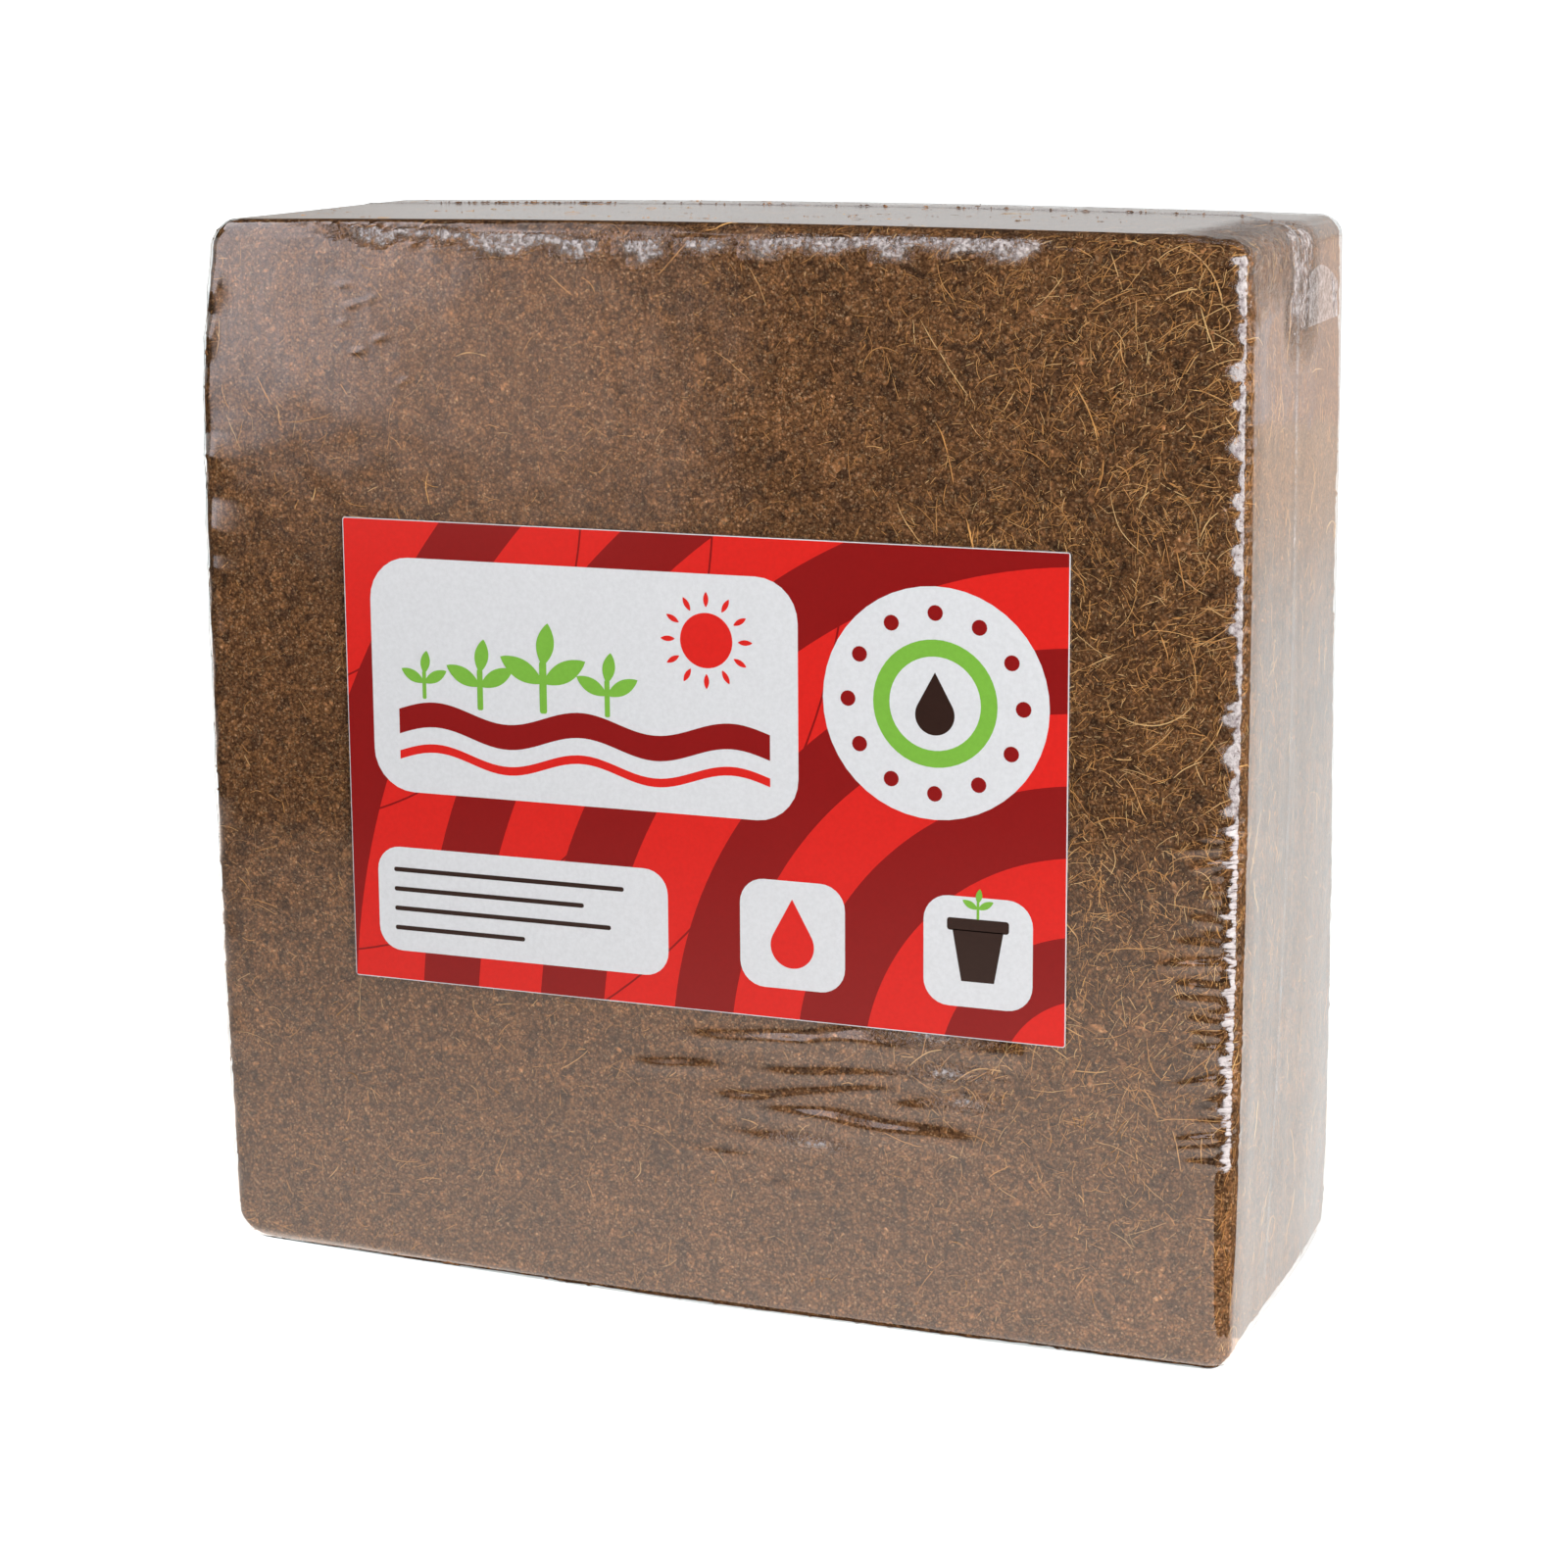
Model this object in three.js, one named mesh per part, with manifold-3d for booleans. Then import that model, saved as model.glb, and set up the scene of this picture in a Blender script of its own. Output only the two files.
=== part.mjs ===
// A pressed bale of coconut coir, shrink-wrapped in clear film, with a paper label on its front.
// Millimetres, +Z up. The bale stands on its narrow side with the label towards -Y.
// The origin is the bottom centre of the wrapped bale.
import * as THREE from "three";
import { mergeVertices } from "three/addons/utils/BufferGeometryUtils.js";
import Module from "manifold-3d";

const wasm = await Module();
wasm.setup();

// The pressed block
const BLOCK_WIDTH = 299;
const BLOCK_DEPTH = 118;
const BLOCK_HEIGHT = 299;
const EDGE_RADIUS = 4.5;
const CORNER_RADIUS = { topLeft: 12, topRight: 8, bottomLeft: 9, bottomRight: 7 };
const GREATEST_CORNER = 12;
const DENT_DEPTH = 0.9;
const CRUMBLE_DEPTH = 1.5;

// How many cells the faces are divided into between their rounded edges
const BLOCK_GRID = { across: 16, deep: 4, up: 16 };
const FILM_GRID = { across: 4, deep: 1, up: 4 };

// How far the block's faces draw in towards their ends, and how its front bottom edge is worn
const LEFT_DRAW_IN = 2.4;
const RIGHT_DRAW_IN = 1.2;
const TOP_DRAW_IN = 1.5;
const WORN_EDGE_LIFT = { left: 4, right: 1.5 };
const WORN_EDGE_DEPTH = 14;

// The film and the label
const FILM_GAP = 0.3;
const FILM_THICKNESS = 0.4;
const FILM_OUTSIDE = FILM_GAP + FILM_THICKNESS;
const SEAL_Y = -1;
const SEAL_SLIT = 0.3;
const SEAL_BEAD = { width: 1.4, height: 0.8, foot: 14 };
const TUCK = { front: 1, back: 46, low: 276, high: 290, thickness: 0.5 };
const LABEL = { width: 208, height: 131, thickness: 0.3, centreX: 0.3, centreZ: 152.5, corner: 0.8 };

const HALF_WIDTH = BLOCK_WIDTH / 2;
const HALF_DEPTH = BLOCK_DEPTH / 2;
const HALF_HEIGHT = BLOCK_HEIGHT / 2;
const BLOCK_MIDDLE_Z = HALF_HEIGHT + FILM_OUTSIDE;

// A share from 0 to 1 that repeats for the same whole numbers.
function scatter(i, j = 0, k = 0) {
  const s = Math.sin(i * 127.1 + j * 311.7 + k * 74.7) * 43758.5453;
  return s - Math.floor(s);
}

// Smooth noise from 0 to 1 over lumps of the given size.
function lumps(point, size) {
  const cell = point.clone().divideScalar(size);
  const low = cell.clone().floor();
  const ease = (v) => v * v * (3 - 2 * v);
  const fx = ease(cell.x - low.x);
  const fy = ease(cell.y - low.y);
  const fz = ease(cell.z - low.z);
  let total = 0;
  for (let i = 0; i < 8; i++) {
    const [dx, dy, dz] = [i & 1, (i >> 1) & 1, (i >> 2) & 1];
    const weight = (dx ? fx : 1 - fx) * (dy ? fy : 1 - fy) * (dz ? fz : 1 - fz);
    total += weight * scatter(low.x + dx, low.y + dy, low.z + dz);
  }
  return total;
}

// Where the grid lines cross one axis, from -half to half: close together over the rounded edge
// and, if the axis has corners, over the corner, and evenly spaced between.
function gridLines(half, offset, zones, between) {
  const nearEdge = zones.map((zone) => zone + (zone > 0 ? offset : 0));
  const last = half - nearEdge[nearEdge.length - 1];
  const middle = Array.from({ length: between - 1 }, (_, i) => -last + (2 * last * (i + 1)) / between);
  return [...nearEdge.map((o) => o - half), ...middle, ...nearEdge.reverse().map((o) => half - o)];
}

// The edge is drawn with two straight steps to each 45 degrees.
const HALF_STEP = 1 - Math.tan(Math.PI / 8);
const EDGE_ZONES = [0, EDGE_RADIUS * HALF_STEP, EDGE_RADIUS];
const CORNER_ZONES = [...EDGE_ZONES, (EDGE_RADIUS + GREATEST_CORNER) / 2, GREATEST_CORNER];
const DEPTH_ZONES = [...EDGE_ZONES, WORN_EDGE_DEPTH];

function cornerRadius(x, z) {
  if (z > 0) return x < 0 ? CORNER_RADIUS.topLeft : CORNER_RADIUS.topRight;
  return x < 0 ? CORNER_RADIUS.bottomLeft : CORNER_RADIUS.bottomRight;
}

// Moves a point of a sharp box onto the box with round corners and edges. half holds the box's
// half sizes, and offset is how far it stands outside the block.
function roundOff(point, half, offset) {
  const corner = cornerRadius(point.x, point.z) + offset;
  const edge = EDGE_RADIUS + offset;
  const core = new THREE.Vector2(
    THREE.MathUtils.clamp(point.x, corner - half.x, half.x - corner),
    THREE.MathUtils.clamp(point.z, corner - half.z, half.z - corner),
  );
  const out = new THREE.Vector2(point.x, point.z).sub(core);
  const reach = Math.max(Math.abs(out.x), Math.abs(out.y));
  let inset = corner - reach;
  let sink = half.y - Math.abs(point.y);
  if (inset < edge && sink < edge) {
    const across = new THREE.Vector2(edge - inset, edge - sink);
    across.setLength(Math.max(across.x, across.y));
    inset = edge - across.x;
    sink = edge - across.y;
  }
  if (reach > 1e-9) core.add(out.setLength(corner - inset));
  return new THREE.Vector3(core.x, Math.sign(point.y) * (half.y - sink), core.y);
}

// The uneven outline of the pressed block: its sides and top draw in towards their ends, and its
// front bottom edge is worn away, most at the left.
function drawnIn(height, middle, reach, most) {
  return most * ((height - middle) / reach) ** 2;
}

function wornLift(x) {
  const side = THREE.MathUtils.clamp(x / HALF_WIDTH, -1, 1);
  const amount = side < 0 ? WORN_EDGE_LIFT.left : WORN_EDGE_LIFT.right;
  return amount * Math.abs(side) ** 1.5;
}

function wornShare(sink) {
  if (sink > EDGE_RADIUS) return (0.5 * (WORN_EDGE_DEPTH - sink)) / (WORN_EDGE_DEPTH - EDGE_RADIUS);
  return 1 - (0.5 * sink) / EDGE_RADIUS;
}

function settle(point, offset) {
  const side = point.x / (HALF_WIDTH + offset);
  const rise = point.z / (HALF_HEIGHT + offset);
  const sideways = side < 0 ? LEFT_DRAW_IN : -RIGHT_DRAW_IN;
  point.x += Math.abs(side) ** 3 * drawnIn(point.z, 10, HALF_HEIGHT, sideways);
  if (rise > 0) point.z -= rise ** 3 * drawnIn(point.x, -20, HALF_WIDTH, TOP_DRAW_IN);
  const sink = Math.max(0, HALF_DEPTH + offset + point.y - offset * 0.5);
  const low = Math.max(0, HALF_HEIGHT + offset + point.z);
  if (sink < WORN_EDGE_DEPTH && low < GREATEST_CORNER) {
    point.z += wornLift(point.x) * Math.max(0, wornShare(sink)) * (1 - low / GREATEST_CORNER);
  }
  return point;
}

// A closed box of the block's shape, standing outside it by offset, about the block's own middle.
function wrappedForm(offset, cells) {
  const half = new THREE.Vector3(HALF_WIDTH, HALF_DEPTH, HALF_HEIGHT).addScalar(offset);
  const lines = {
    x: gridLines(half.x, offset, CORNER_ZONES, cells.across),
    y: gridLines(half.y, offset, DEPTH_ZONES, cells.deep),
    z: gridLines(half.z, offset, CORNER_ZONES, cells.up),
  };
  const steps = { x: lines.x.length - 1, y: lines.y.length - 1, z: lines.z.length - 1 };
  const box = new THREE.BoxGeometry(1, 1, 1, steps.x, steps.y, steps.z);
  box.deleteAttribute("normal");
  box.deleteAttribute("uv");
  const closed = mergeVertices(box, 1e-5);
  const places = closed.getAttribute("position");
  const onGrid = (v, axis) => lines[axis][Math.round((v + 0.5) * steps[axis])];
  for (let i = 0; i < places.count; i++) {
    const sharp = new THREE.Vector3(
      onGrid(places.getX(i), "x"),
      onGrid(places.getY(i), "y"),
      onGrid(places.getZ(i), "z"),
    );
    const placed = settle(roundOff(sharp, half, offset), offset);
    places.setXYZ(i, placed.x, placed.y, placed.z);
  }
  closed.computeVertexNormals();
  return closed;
}

// The block itself: the pressed surface is pitted all over and crumbled along its edges.
function pressedBlock() {
  const form = wrappedForm(0, BLOCK_GRID);
  const places = form.getAttribute("position");
  const normals = form.getAttribute("normal");
  for (let i = 0; i < places.count; i++) {
    const place = new THREE.Vector3().fromBufferAttribute(places, i);
    const normal = new THREE.Vector3().fromBufferAttribute(normals, i);
    const slant = 1 - Math.max(Math.abs(normal.x), Math.abs(normal.y), Math.abs(normal.z));
    const crumble = CRUMBLE_DEPTH * Math.min(1, slant * 4) * lumps(place, 8);
    const dent = DENT_DEPTH * lumps(place, 26) * lumps(place.clone().addScalar(400), 11);
    place.addScaledVector(normal, -(dent + crumble));
    places.setXYZ(i, place.x, place.y, place.z);
  }
  return form;
}

function solidFrom(geometry) {
  const solid = new wasm.Manifold(
    new wasm.Mesh({
      numProp: 3,
      vertProperties: new Float32Array(geometry.getAttribute("position").array),
      triVerts: new Uint32Array(geometry.index.array),
    }),
  );
  return solid;
}

function geometryFrom(solid) {
  const mesh = solid.getMesh();
  const geometry = new THREE.BufferGeometry();
  geometry.setAttribute("position", new THREE.BufferAttribute(mesh.vertProperties, 3));
  geometry.setIndex(new THREE.BufferAttribute(mesh.triVerts, 1));
  const faceted = geometry.toNonIndexed();
  faceted.computeVertexNormals();
  return faceted;
}

function boxSolid(low, high) {
  const size = high.clone().sub(low);
  const box = new THREE.BoxGeometry(size.x, size.y, size.z);
  box.deleteAttribute("normal");
  box.deleteAttribute("uv");
  const middle = low.clone().add(high).multiplyScalar(0.5);
  return solidFrom(mergeVertices(box.translate(middle.x, middle.y, middle.z), 1e-5));
}

// A pleat of film: a low ridge with a sharp crest that tapers to a point at both ends. Each stop
// is a point on the film's outside with the way out, and the pleat's height and width there.
const PLEAT_ROOT = 0.15;
const PLEAT_TAIL = 5;

function pleat(stops) {
  const corners = [];
  const faces = [];
  const first = stops[0];
  const last = stops[stops.length - 1];
  const inner = stops.slice(1, -1);
  const sunk = (stop) => stop.at.clone().addScaledVector(stop.out, -PLEAT_ROOT);
  corners.push(sunk(first));
  inner.forEach((stop, i) => {
    const along = stops[i + 2].at.clone().sub(stops[i].at).normalize();
    const sideways = along.cross(stop.out).normalize();
    corners.push(sunk(stop).addScaledVector(sideways, stop.width / 2));
    corners.push(stop.at.clone().addScaledVector(stop.out, stop.height));
    corners.push(sunk(stop).addScaledVector(sideways, -stop.width / 2));
  });
  corners.push(sunk(last));
  const end = corners.length - 1;
  for (let side = 0; side < 3; side++) {
    const next = (side + 1) % 3;
    faces.push(0, 1 + next, 1 + side);
    for (let i = 0; i + 1 < inner.length; i++) {
      const [a, b] = [1 + 3 * i + side, 1 + 3 * i + next];
      faces.push(a, b, a + 3, b, b + 3, a + 3);
    }
    faces.push(end, end - 3 + side, end - 3 + next);
  }
  const geometry = new THREE.BufferGeometry().setFromPoints(corners);
  geometry.setIndex(faces);
  let solid = solidFrom(geometry);
  if (solid.volume() < 0) {
    for (let i = 0; i < faces.length; i += 3) [faces[i], faces[i + 1]] = [faces[i + 1], faces[i]];
    geometry.setIndex(faces);
    solid = solidFrom(geometry);
  }
  return solid;
}

// A point on the film where it turns over a front edge, at a distance from the edge's middle:
// below zero on the front face, and above zero on the face beyond.
const FILM_EDGE = EDGE_RADIUS + FILM_OUTSIDE;
const QUARTER_TURN = (FILM_EDGE * Math.PI) / 2;

function overEdge(distance, beyond, spot) {
  const front = -HALF_DEPTH - FILM_OUTSIDE;
  const start = distance + QUARTER_TURN / 2;
  const angle = THREE.MathUtils.clamp(start / FILM_EDGE, 0, Math.PI / 2);
  const flat = Math.min(start, 0);
  const past = Math.max(start - QUARTER_TURN, 0);
  const out = new THREE.Vector3(0, -Math.cos(angle), 0).addScaledVector(beyond, Math.sin(angle));
  const at = spot.clone().addScaledVector(beyond, flat - FILM_EDGE + FILM_EDGE * Math.sin(angle));
  at.y = front + FILM_EDGE - FILM_EDGE * Math.cos(angle) + past;
  return { at, out };
}

function edgePleat(spot, beyond, slant, length, height, width) {
  const lean = new THREE.Vector3(beyond.z, 0, -beyond.x).multiplyScalar(slant);
  const stop = (distance, share) => {
    const { at, out } = overEdge(distance, beyond, spot);
    at.addScaledVector(lean, -Math.min(distance, 0));
    return { at, out, height: height * share, width: width * Math.max(share, 0.2) };
  };
  return pleat([
    stop(-length, 0),
    stop(-QUARTER_TURN / 2, 0.9),
    stop(0, 0.8),
    stop(QUARTER_TURN / 2, 0.6),
    stop(QUARTER_TURN / 2 + PLEAT_TAIL, 0),
  ]);
}

// The pleats gather along the right front edge, and shorter ones along the top front edge.
function pleatsOverEdges() {
  const toRight = new THREE.Vector3(1, 0, 0);
  const toTop = new THREE.Vector3(0, 0, 1);
  const made = [];
  for (let i = 0; i < 24; i++) {
    const z = -HALF_HEIGHT + 46 + i * 8.6 + 3.5 * scatter(i, 1);
    const x = HALF_WIDTH + FILM_OUTSIDE - drawnIn(z, 10, HALF_HEIGHT, RIGHT_DRAW_IN);
    const slant = 0.35 * (scatter(i, 2) - 0.45);
    const length = 14 + 22 * scatter(i, 3) ** 2;
    const size = 0.55 + 0.45 * scatter(i, 4);
    made.push(edgePleat(new THREE.Vector3(x, 0, z), toRight, slant, length, size, 2.6 * size + 0.6));
  }
  for (let i = 0; i < 14; i++) {
    const x = -HALF_WIDTH + 40 + i * 15.8 + 8 * scatter(i, 5);
    const z = HALF_HEIGHT + FILM_OUTSIDE - drawnIn(x, -20, HALF_WIDTH, TOP_DRAW_IN);
    const slant = 0.5 * (scatter(i, 6) - 0.5);
    const length = 8 + 9 * scatter(i, 7);
    const size = 0.5 + 0.4 * scatter(i, 8);
    made.push(edgePleat(new THREE.Vector3(x, 0, z), toTop, slant, length, size, 2.6 * size + 0.6));
  }
  return made;
}

// Long shallow folds in the slack film under the label. Heights are from the bale's foot.
const SLACK_FOLDS = [
  { x: 5, z: 80, length: 60, tilt: -0.02 },
  { x: 52, z: 77, length: 74, tilt: -0.05 },
  { x: 30, z: 69, length: 52, tilt: 0.03 },
  { x: 70, z: 66, length: 44, tilt: 0.02 },
  { x: 36, z: 60, length: 92, tilt: -0.1 },
  { x: 16, z: 49, length: 40, tilt: -0.12 },
  { x: 2, z: 26, length: 22, tilt: -0.15 },
  { x: 8, z: 15, length: 30, tilt: -0.25 },
];

function slackFolds() {
  const out = new THREE.Vector3(0, -1, 0);
  const front = -HALF_DEPTH - FILM_OUTSIDE;
  return SLACK_FOLDS.map(({ x, z, length, tilt }) => {
    const stop = (share, height) => ({
      at: new THREE.Vector3(x + share * length, front, z + share * length * tilt - BLOCK_MIDDLE_Z),
      out,
      height,
      width: 3.2,
    });
    return pleat([stop(-0.5, 0), stop(-0.2, 0.6), stop(0.15, 0.6), stop(0.5, 0)]);
  });
}

// The film is one centre-folded sheet: whole under the foot, and sealed up both sides and over
// the top. The seal is a bead along the front half's edge, with the back half's edge behind it.
function wrappedFilm() {
  const outside = solidFrom(wrappedForm(FILM_OUTSIDE, FILM_GRID));
  const inside = solidFrom(wrappedForm(FILM_GAP, FILM_GRID));
  const raised = solidFrom(wrappedForm(FILM_OUTSIDE + SEAL_BEAD.height, FILM_GRID));
  const wide = BLOCK_WIDTH;
  const foot = SEAL_BEAD.foot - BLOCK_MIDDLE_Z;
  const slitFront = SEAL_Y - SEAL_SLIT / 2;
  const slit = boxSolid(
    new THREE.Vector3(-wide, slitFront, foot),
    new THREE.Vector3(wide, slitFront + SEAL_SLIT, wide),
  );
  const beadSlab = boxSolid(
    new THREE.Vector3(-wide, slitFront - SEAL_BEAD.width, foot),
    new THREE.Vector3(wide, slitFront, wide),
  );
  const side = HALF_WIDTH + FILM_GAP / 2 - RIGHT_DRAW_IN;
  const tuckSlab = boxSolid(
    new THREE.Vector3(side, TUCK.front, TUCK.low - BLOCK_MIDDLE_Z),
    new THREE.Vector3(wide, TUCK.back, TUCK.high - BLOCK_MIDDLE_Z),
  );
  const folded = solidFrom(wrappedForm(FILM_OUTSIDE + TUCK.thickness, FILM_GRID)).intersect(tuckSlab);
  const bead = raised.intersect(beadSlab);
  const pleats = wasm.Manifold.union([...pleatsOverEdges(), ...slackFolds()]);
  return outside.add(bead).add(folded).add(pleats).subtract(inside).subtract(slit);
}

function paperLabel() {
  const { width, height, thickness, corner } = LABEL;
  const sheet = new THREE.Shape();
  const [right, top] = [width / 2, height / 2];
  sheet.moveTo(-right + corner, -top);
  sheet.lineTo(right - corner, -top);
  sheet.absarc(right - corner, -top + corner, corner, -Math.PI / 2, 0);
  sheet.absarc(right - corner, top - corner, corner, 0, Math.PI / 2);
  sheet.absarc(-right + corner, top - corner, corner, Math.PI / 2, Math.PI);
  sheet.absarc(-right + corner, -top + corner, corner, Math.PI, Math.PI * 1.5);
  return new THREE.ExtrudeGeometry(sheet, { depth: thickness, bevelEnabled: false, curveSegments: 2 });
}

const coir = new THREE.MeshStandardMaterial({ color: 0x6b4a2c, roughness: 0.95, metalness: 0 });
const film = new THREE.MeshStandardMaterial({
  color: 0xe8e4df,
  roughness: 0.12,
  metalness: 0,
  transparent: true,
  opacity: 0.3,
});
const paper = new THREE.MeshStandardMaterial({ color: 0xc4201e, roughness: 0.35, metalness: 0 });

function named(name, geometry, material) {
  const mesh = new THREE.Mesh(geometry, material);
  mesh.name = name;
  return mesh;
}

const bale = new THREE.Group();
const block = named("coir_block", pressedBlock(), coir);
block.position.z = BLOCK_MIDDLE_Z;
const wrap = named("shrink_film", geometryFrom(wrappedFilm()), film);
wrap.position.z = BLOCK_MIDDLE_Z;
const label = named("label", paperLabel(), paper);
label.rotation.x = Math.PI / 2;
label.position.set(LABEL.centreX, -HALF_DEPTH - FILM_OUTSIDE - FILM_GAP, LABEL.centreZ);
bale.add(block, wrap, label);

export default bale;
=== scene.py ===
"""A bale of pressed coconut coir in clear shrink film, with a printed label on its front.

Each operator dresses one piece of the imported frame: the pressed block, the fibres and husk flakes on
its surface, the film, the label, and the studio around it. Lengths in the code are millimetres about
the middle of the block, unless a name says otherwise, and turn into metres as a mesh is made.
"""

import math

import bpy
import numpy as np
from mathutils import Matrix, Vector


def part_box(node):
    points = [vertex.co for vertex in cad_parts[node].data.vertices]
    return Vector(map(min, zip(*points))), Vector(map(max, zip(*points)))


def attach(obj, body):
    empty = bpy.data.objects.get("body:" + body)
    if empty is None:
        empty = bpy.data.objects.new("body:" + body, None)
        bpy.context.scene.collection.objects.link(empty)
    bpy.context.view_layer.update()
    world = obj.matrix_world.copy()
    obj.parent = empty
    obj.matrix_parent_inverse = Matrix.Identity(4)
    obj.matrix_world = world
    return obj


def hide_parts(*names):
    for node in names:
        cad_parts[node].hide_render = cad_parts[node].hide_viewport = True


bl_info = {
    "name": "Coconut Coir Bale",
    "version": (1, 0, 0),
    "blender": (4, 5, 0),
    "location": "View3D > Sidebar > Coir Bale",
    "description": "Dresses the frame of a shrink-wrapped coir bale",
    "category": "Add Mesh",
}

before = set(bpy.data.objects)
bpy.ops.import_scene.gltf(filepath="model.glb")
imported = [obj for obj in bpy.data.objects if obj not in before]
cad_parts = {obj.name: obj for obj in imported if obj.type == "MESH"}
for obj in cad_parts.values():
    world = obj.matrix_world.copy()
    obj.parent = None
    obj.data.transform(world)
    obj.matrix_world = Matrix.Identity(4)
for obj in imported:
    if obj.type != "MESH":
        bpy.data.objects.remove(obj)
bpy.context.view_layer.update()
MM = 0.001

BLOCK_LOW, BLOCK_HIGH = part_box("coir_block")
LABEL_LOW, LABEL_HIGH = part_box("label")
BLOCK_MIDDLE = np.array((BLOCK_LOW + BLOCK_HIGH) / 2) / MM
HALF = np.array((BLOCK_HIGH - BLOCK_LOW) / 2) / MM

# The block's round edges, close to the frame's
EDGE_RADIUS = 4.5
CORNER_RADII = {"top left": 8.0, "top right": 5.5, "bottom left": 9.0, "bottom right": 6.0}

# How far the sides and the top are drawn in at their ends, and the height and place where they are not
LEFT_DRAW_IN = 2.4
RIGHT_DRAW_IN = 1.2
TOP_DRAW_IN = 1.5
WAIST_Z = 10.0
CREST_X = -20.0

# How far the upper left shoulder is drawn in, the low back of the right side bulges and the top right
# corner slumps. Each zone gives the stretch of each axis over which it sets in, from none to all.
SHOULDER_DRAW_IN = 3.4
SHOULDER = {"x": (-120, -150), "y": (40, -30), "z": (100, 150)}
LOW_BULGE = 2.4
LOW_BACK = {"y": (-50, 40), "z": (50, -120)}
CORNER_SLUMP = 0.5
SLUMPED_CORNER = {"x": (112, 146), "y": (-5, -50), "z": (90, 145)}

# The worn front bottom edge: how far its two ends are lifted, and how far it reaches in and up
WORN_LIFT_LEFT = 4.0
WORN_LIFT_RIGHT = 1.5
WORN_DEPTH = 14.0
WORN_HEIGHT = 12.0

# The film's seal: its place, its lowest point, its lean forward low down and its drift back over the top
SEAL_Y = -1.0
SEAL_FOOT = 14.0 - BLOCK_MIDDLE[2]
SEAL_LEAN = 14.0
SEAL_DRIFT = 34.0

# The six faces as (axis of the normal, side, axis across, axis up)
FACES = {
    "front": (1, -1, 0, 2),
    "back": (1, 1, 0, 2),
    "left": (0, -1, 1, 2),
    "right": (0, 1, 1, 2),
    "top": (2, 1, 0, 1),
    "bottom": (2, -1, 0, 1),
}


# Noise and random draws


def scatter(cells):
    """A share from 0 to 1 for each row of whole numbers, the same on every run."""
    s = np.sin(cells @ np.array((127.1, 311.7, 74.7))) * 43758.5453
    return s - np.floor(s)


def lumps(points, size, seed=0):
    """Smooth noise from 0 to 1 over lumps of that size, in millimetres."""
    cell = points / size + 31.7 * seed
    low = np.floor(cell)
    f = cell - low
    f = f * f * (3 - 2 * f)
    total = np.zeros(len(points))
    for corner in np.ndindex(2, 2, 2):
        share = np.prod(np.where(corner, f, 1 - f), axis=1)
        total += share * scatter(low + corner)
    return total


def smoothstep(low, high, value):
    t = np.clip((value - low) / (high - low), 0, 1)
    return t * t * (3 - 2 * t)


def zone(points, x=None, y=None, z=None):
    """From 0 to 1 over the given stretch of each axis, for the points of a region."""
    share = np.ones(len(points))
    for places, stretch in zip(points.T, (x, y, z)):
        if stretch:
            share *= smoothstep(*stretch, places)
    return share


# The bale's form


def corner_radius(x, z):
    upper = np.where(x < 0, CORNER_RADII["top left"], CORNER_RADII["top right"])
    lower = np.where(x < 0, CORNER_RADII["bottom left"], CORNER_RADII["bottom right"])
    return np.where(z > 0, upper, lower)


def rounded(points, offset):
    """Moves points of a sharp box of half sizes HALF + offset onto the box with round edges."""
    half = HALF + offset
    corner = corner_radius(points[:, 0], points[:, 2]) + offset
    edge = EDGE_RADIUS + offset
    flat = points[:, (0, 2)]
    spans = ((0, half[0]), (1, half[2]))
    core = np.stack([np.clip(flat[:, i], corner - h, h - corner) for i, h in spans], 1)
    out = flat - core
    reach = np.abs(out).max(1)
    inset = corner - reach
    sink = half[1] - np.abs(points[:, 1])
    over = (inset < edge) & (sink < edge)
    across = np.stack([edge - inset, edge - sink], 1)
    length = np.maximum(np.hypot(across[:, 0], across[:, 1]), 1e-9)
    across *= (np.abs(across).max(1) / length)[:, None]
    inset = np.where(over, edge - across[:, 0], inset)
    sink = np.where(over, edge - across[:, 1], sink)
    spread = np.maximum(np.hypot(out[:, 0], out[:, 1]), 1e-9)
    placed = core + out * (np.where(reach > 1e-9, corner - inset, 0) / spread)[:, None]
    return np.stack([placed[:, 0], np.sign(points[:, 1]) * (half[1] - sink), placed[:, 1]], 1)


def settled(points, offset):
    """Gives the round box its drawn-in, bulged and slumped sides, and lifts the worn front bottom edge."""
    p = points.copy()
    side = p[:, 0] / (HALF[0] + offset)
    rise = np.clip(p[:, 2] / (HALF[2] + offset), 0, None)
    sideways = np.where(side < 0, LEFT_DRAW_IN, -RIGHT_DRAW_IN)
    p[:, 0] += np.abs(side) ** 3 * sideways * ((p[:, 2] - WAIST_Z) / HALF[2]) ** 2
    p[:, 0] += SHOULDER_DRAW_IN * zone(p, **SHOULDER)
    p[:, 0] += LOW_BULGE * zone(p, **LOW_BACK) * np.clip(side, 0, None) ** 3
    p[:, 2] -= rise**3 * TOP_DRAW_IN * ((p[:, 0] - CREST_X) / HALF[0]) ** 2
    p[:, 2] -= CORNER_SLUMP * zone(p, **SLUMPED_CORNER)
    sink = np.clip(HALF[1] + offset / 2 + p[:, 1], 0, None)
    low = np.clip(HALF[2] + offset + p[:, 2], 0, None)
    near = (WORN_DEPTH - sink) / (WORN_DEPTH - EDGE_RADIUS) / 2
    share = np.where(sink > EDGE_RADIUS, near, 1 - sink / EDGE_RADIUS / 2)
    across = np.clip(p[:, 0] / HALF[0], -1, 1)
    lift = np.where(across < 0, WORN_LIFT_LEFT, WORN_LIFT_RIGHT) * np.abs(across) ** 1.5
    worn = (sink < WORN_DEPTH) & (low < WORN_HEIGHT)
    p[:, 2] += np.where(worn, lift * np.clip(share, 0, None) * (1 - low / WORN_HEIGHT), 0)
    return p


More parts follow.
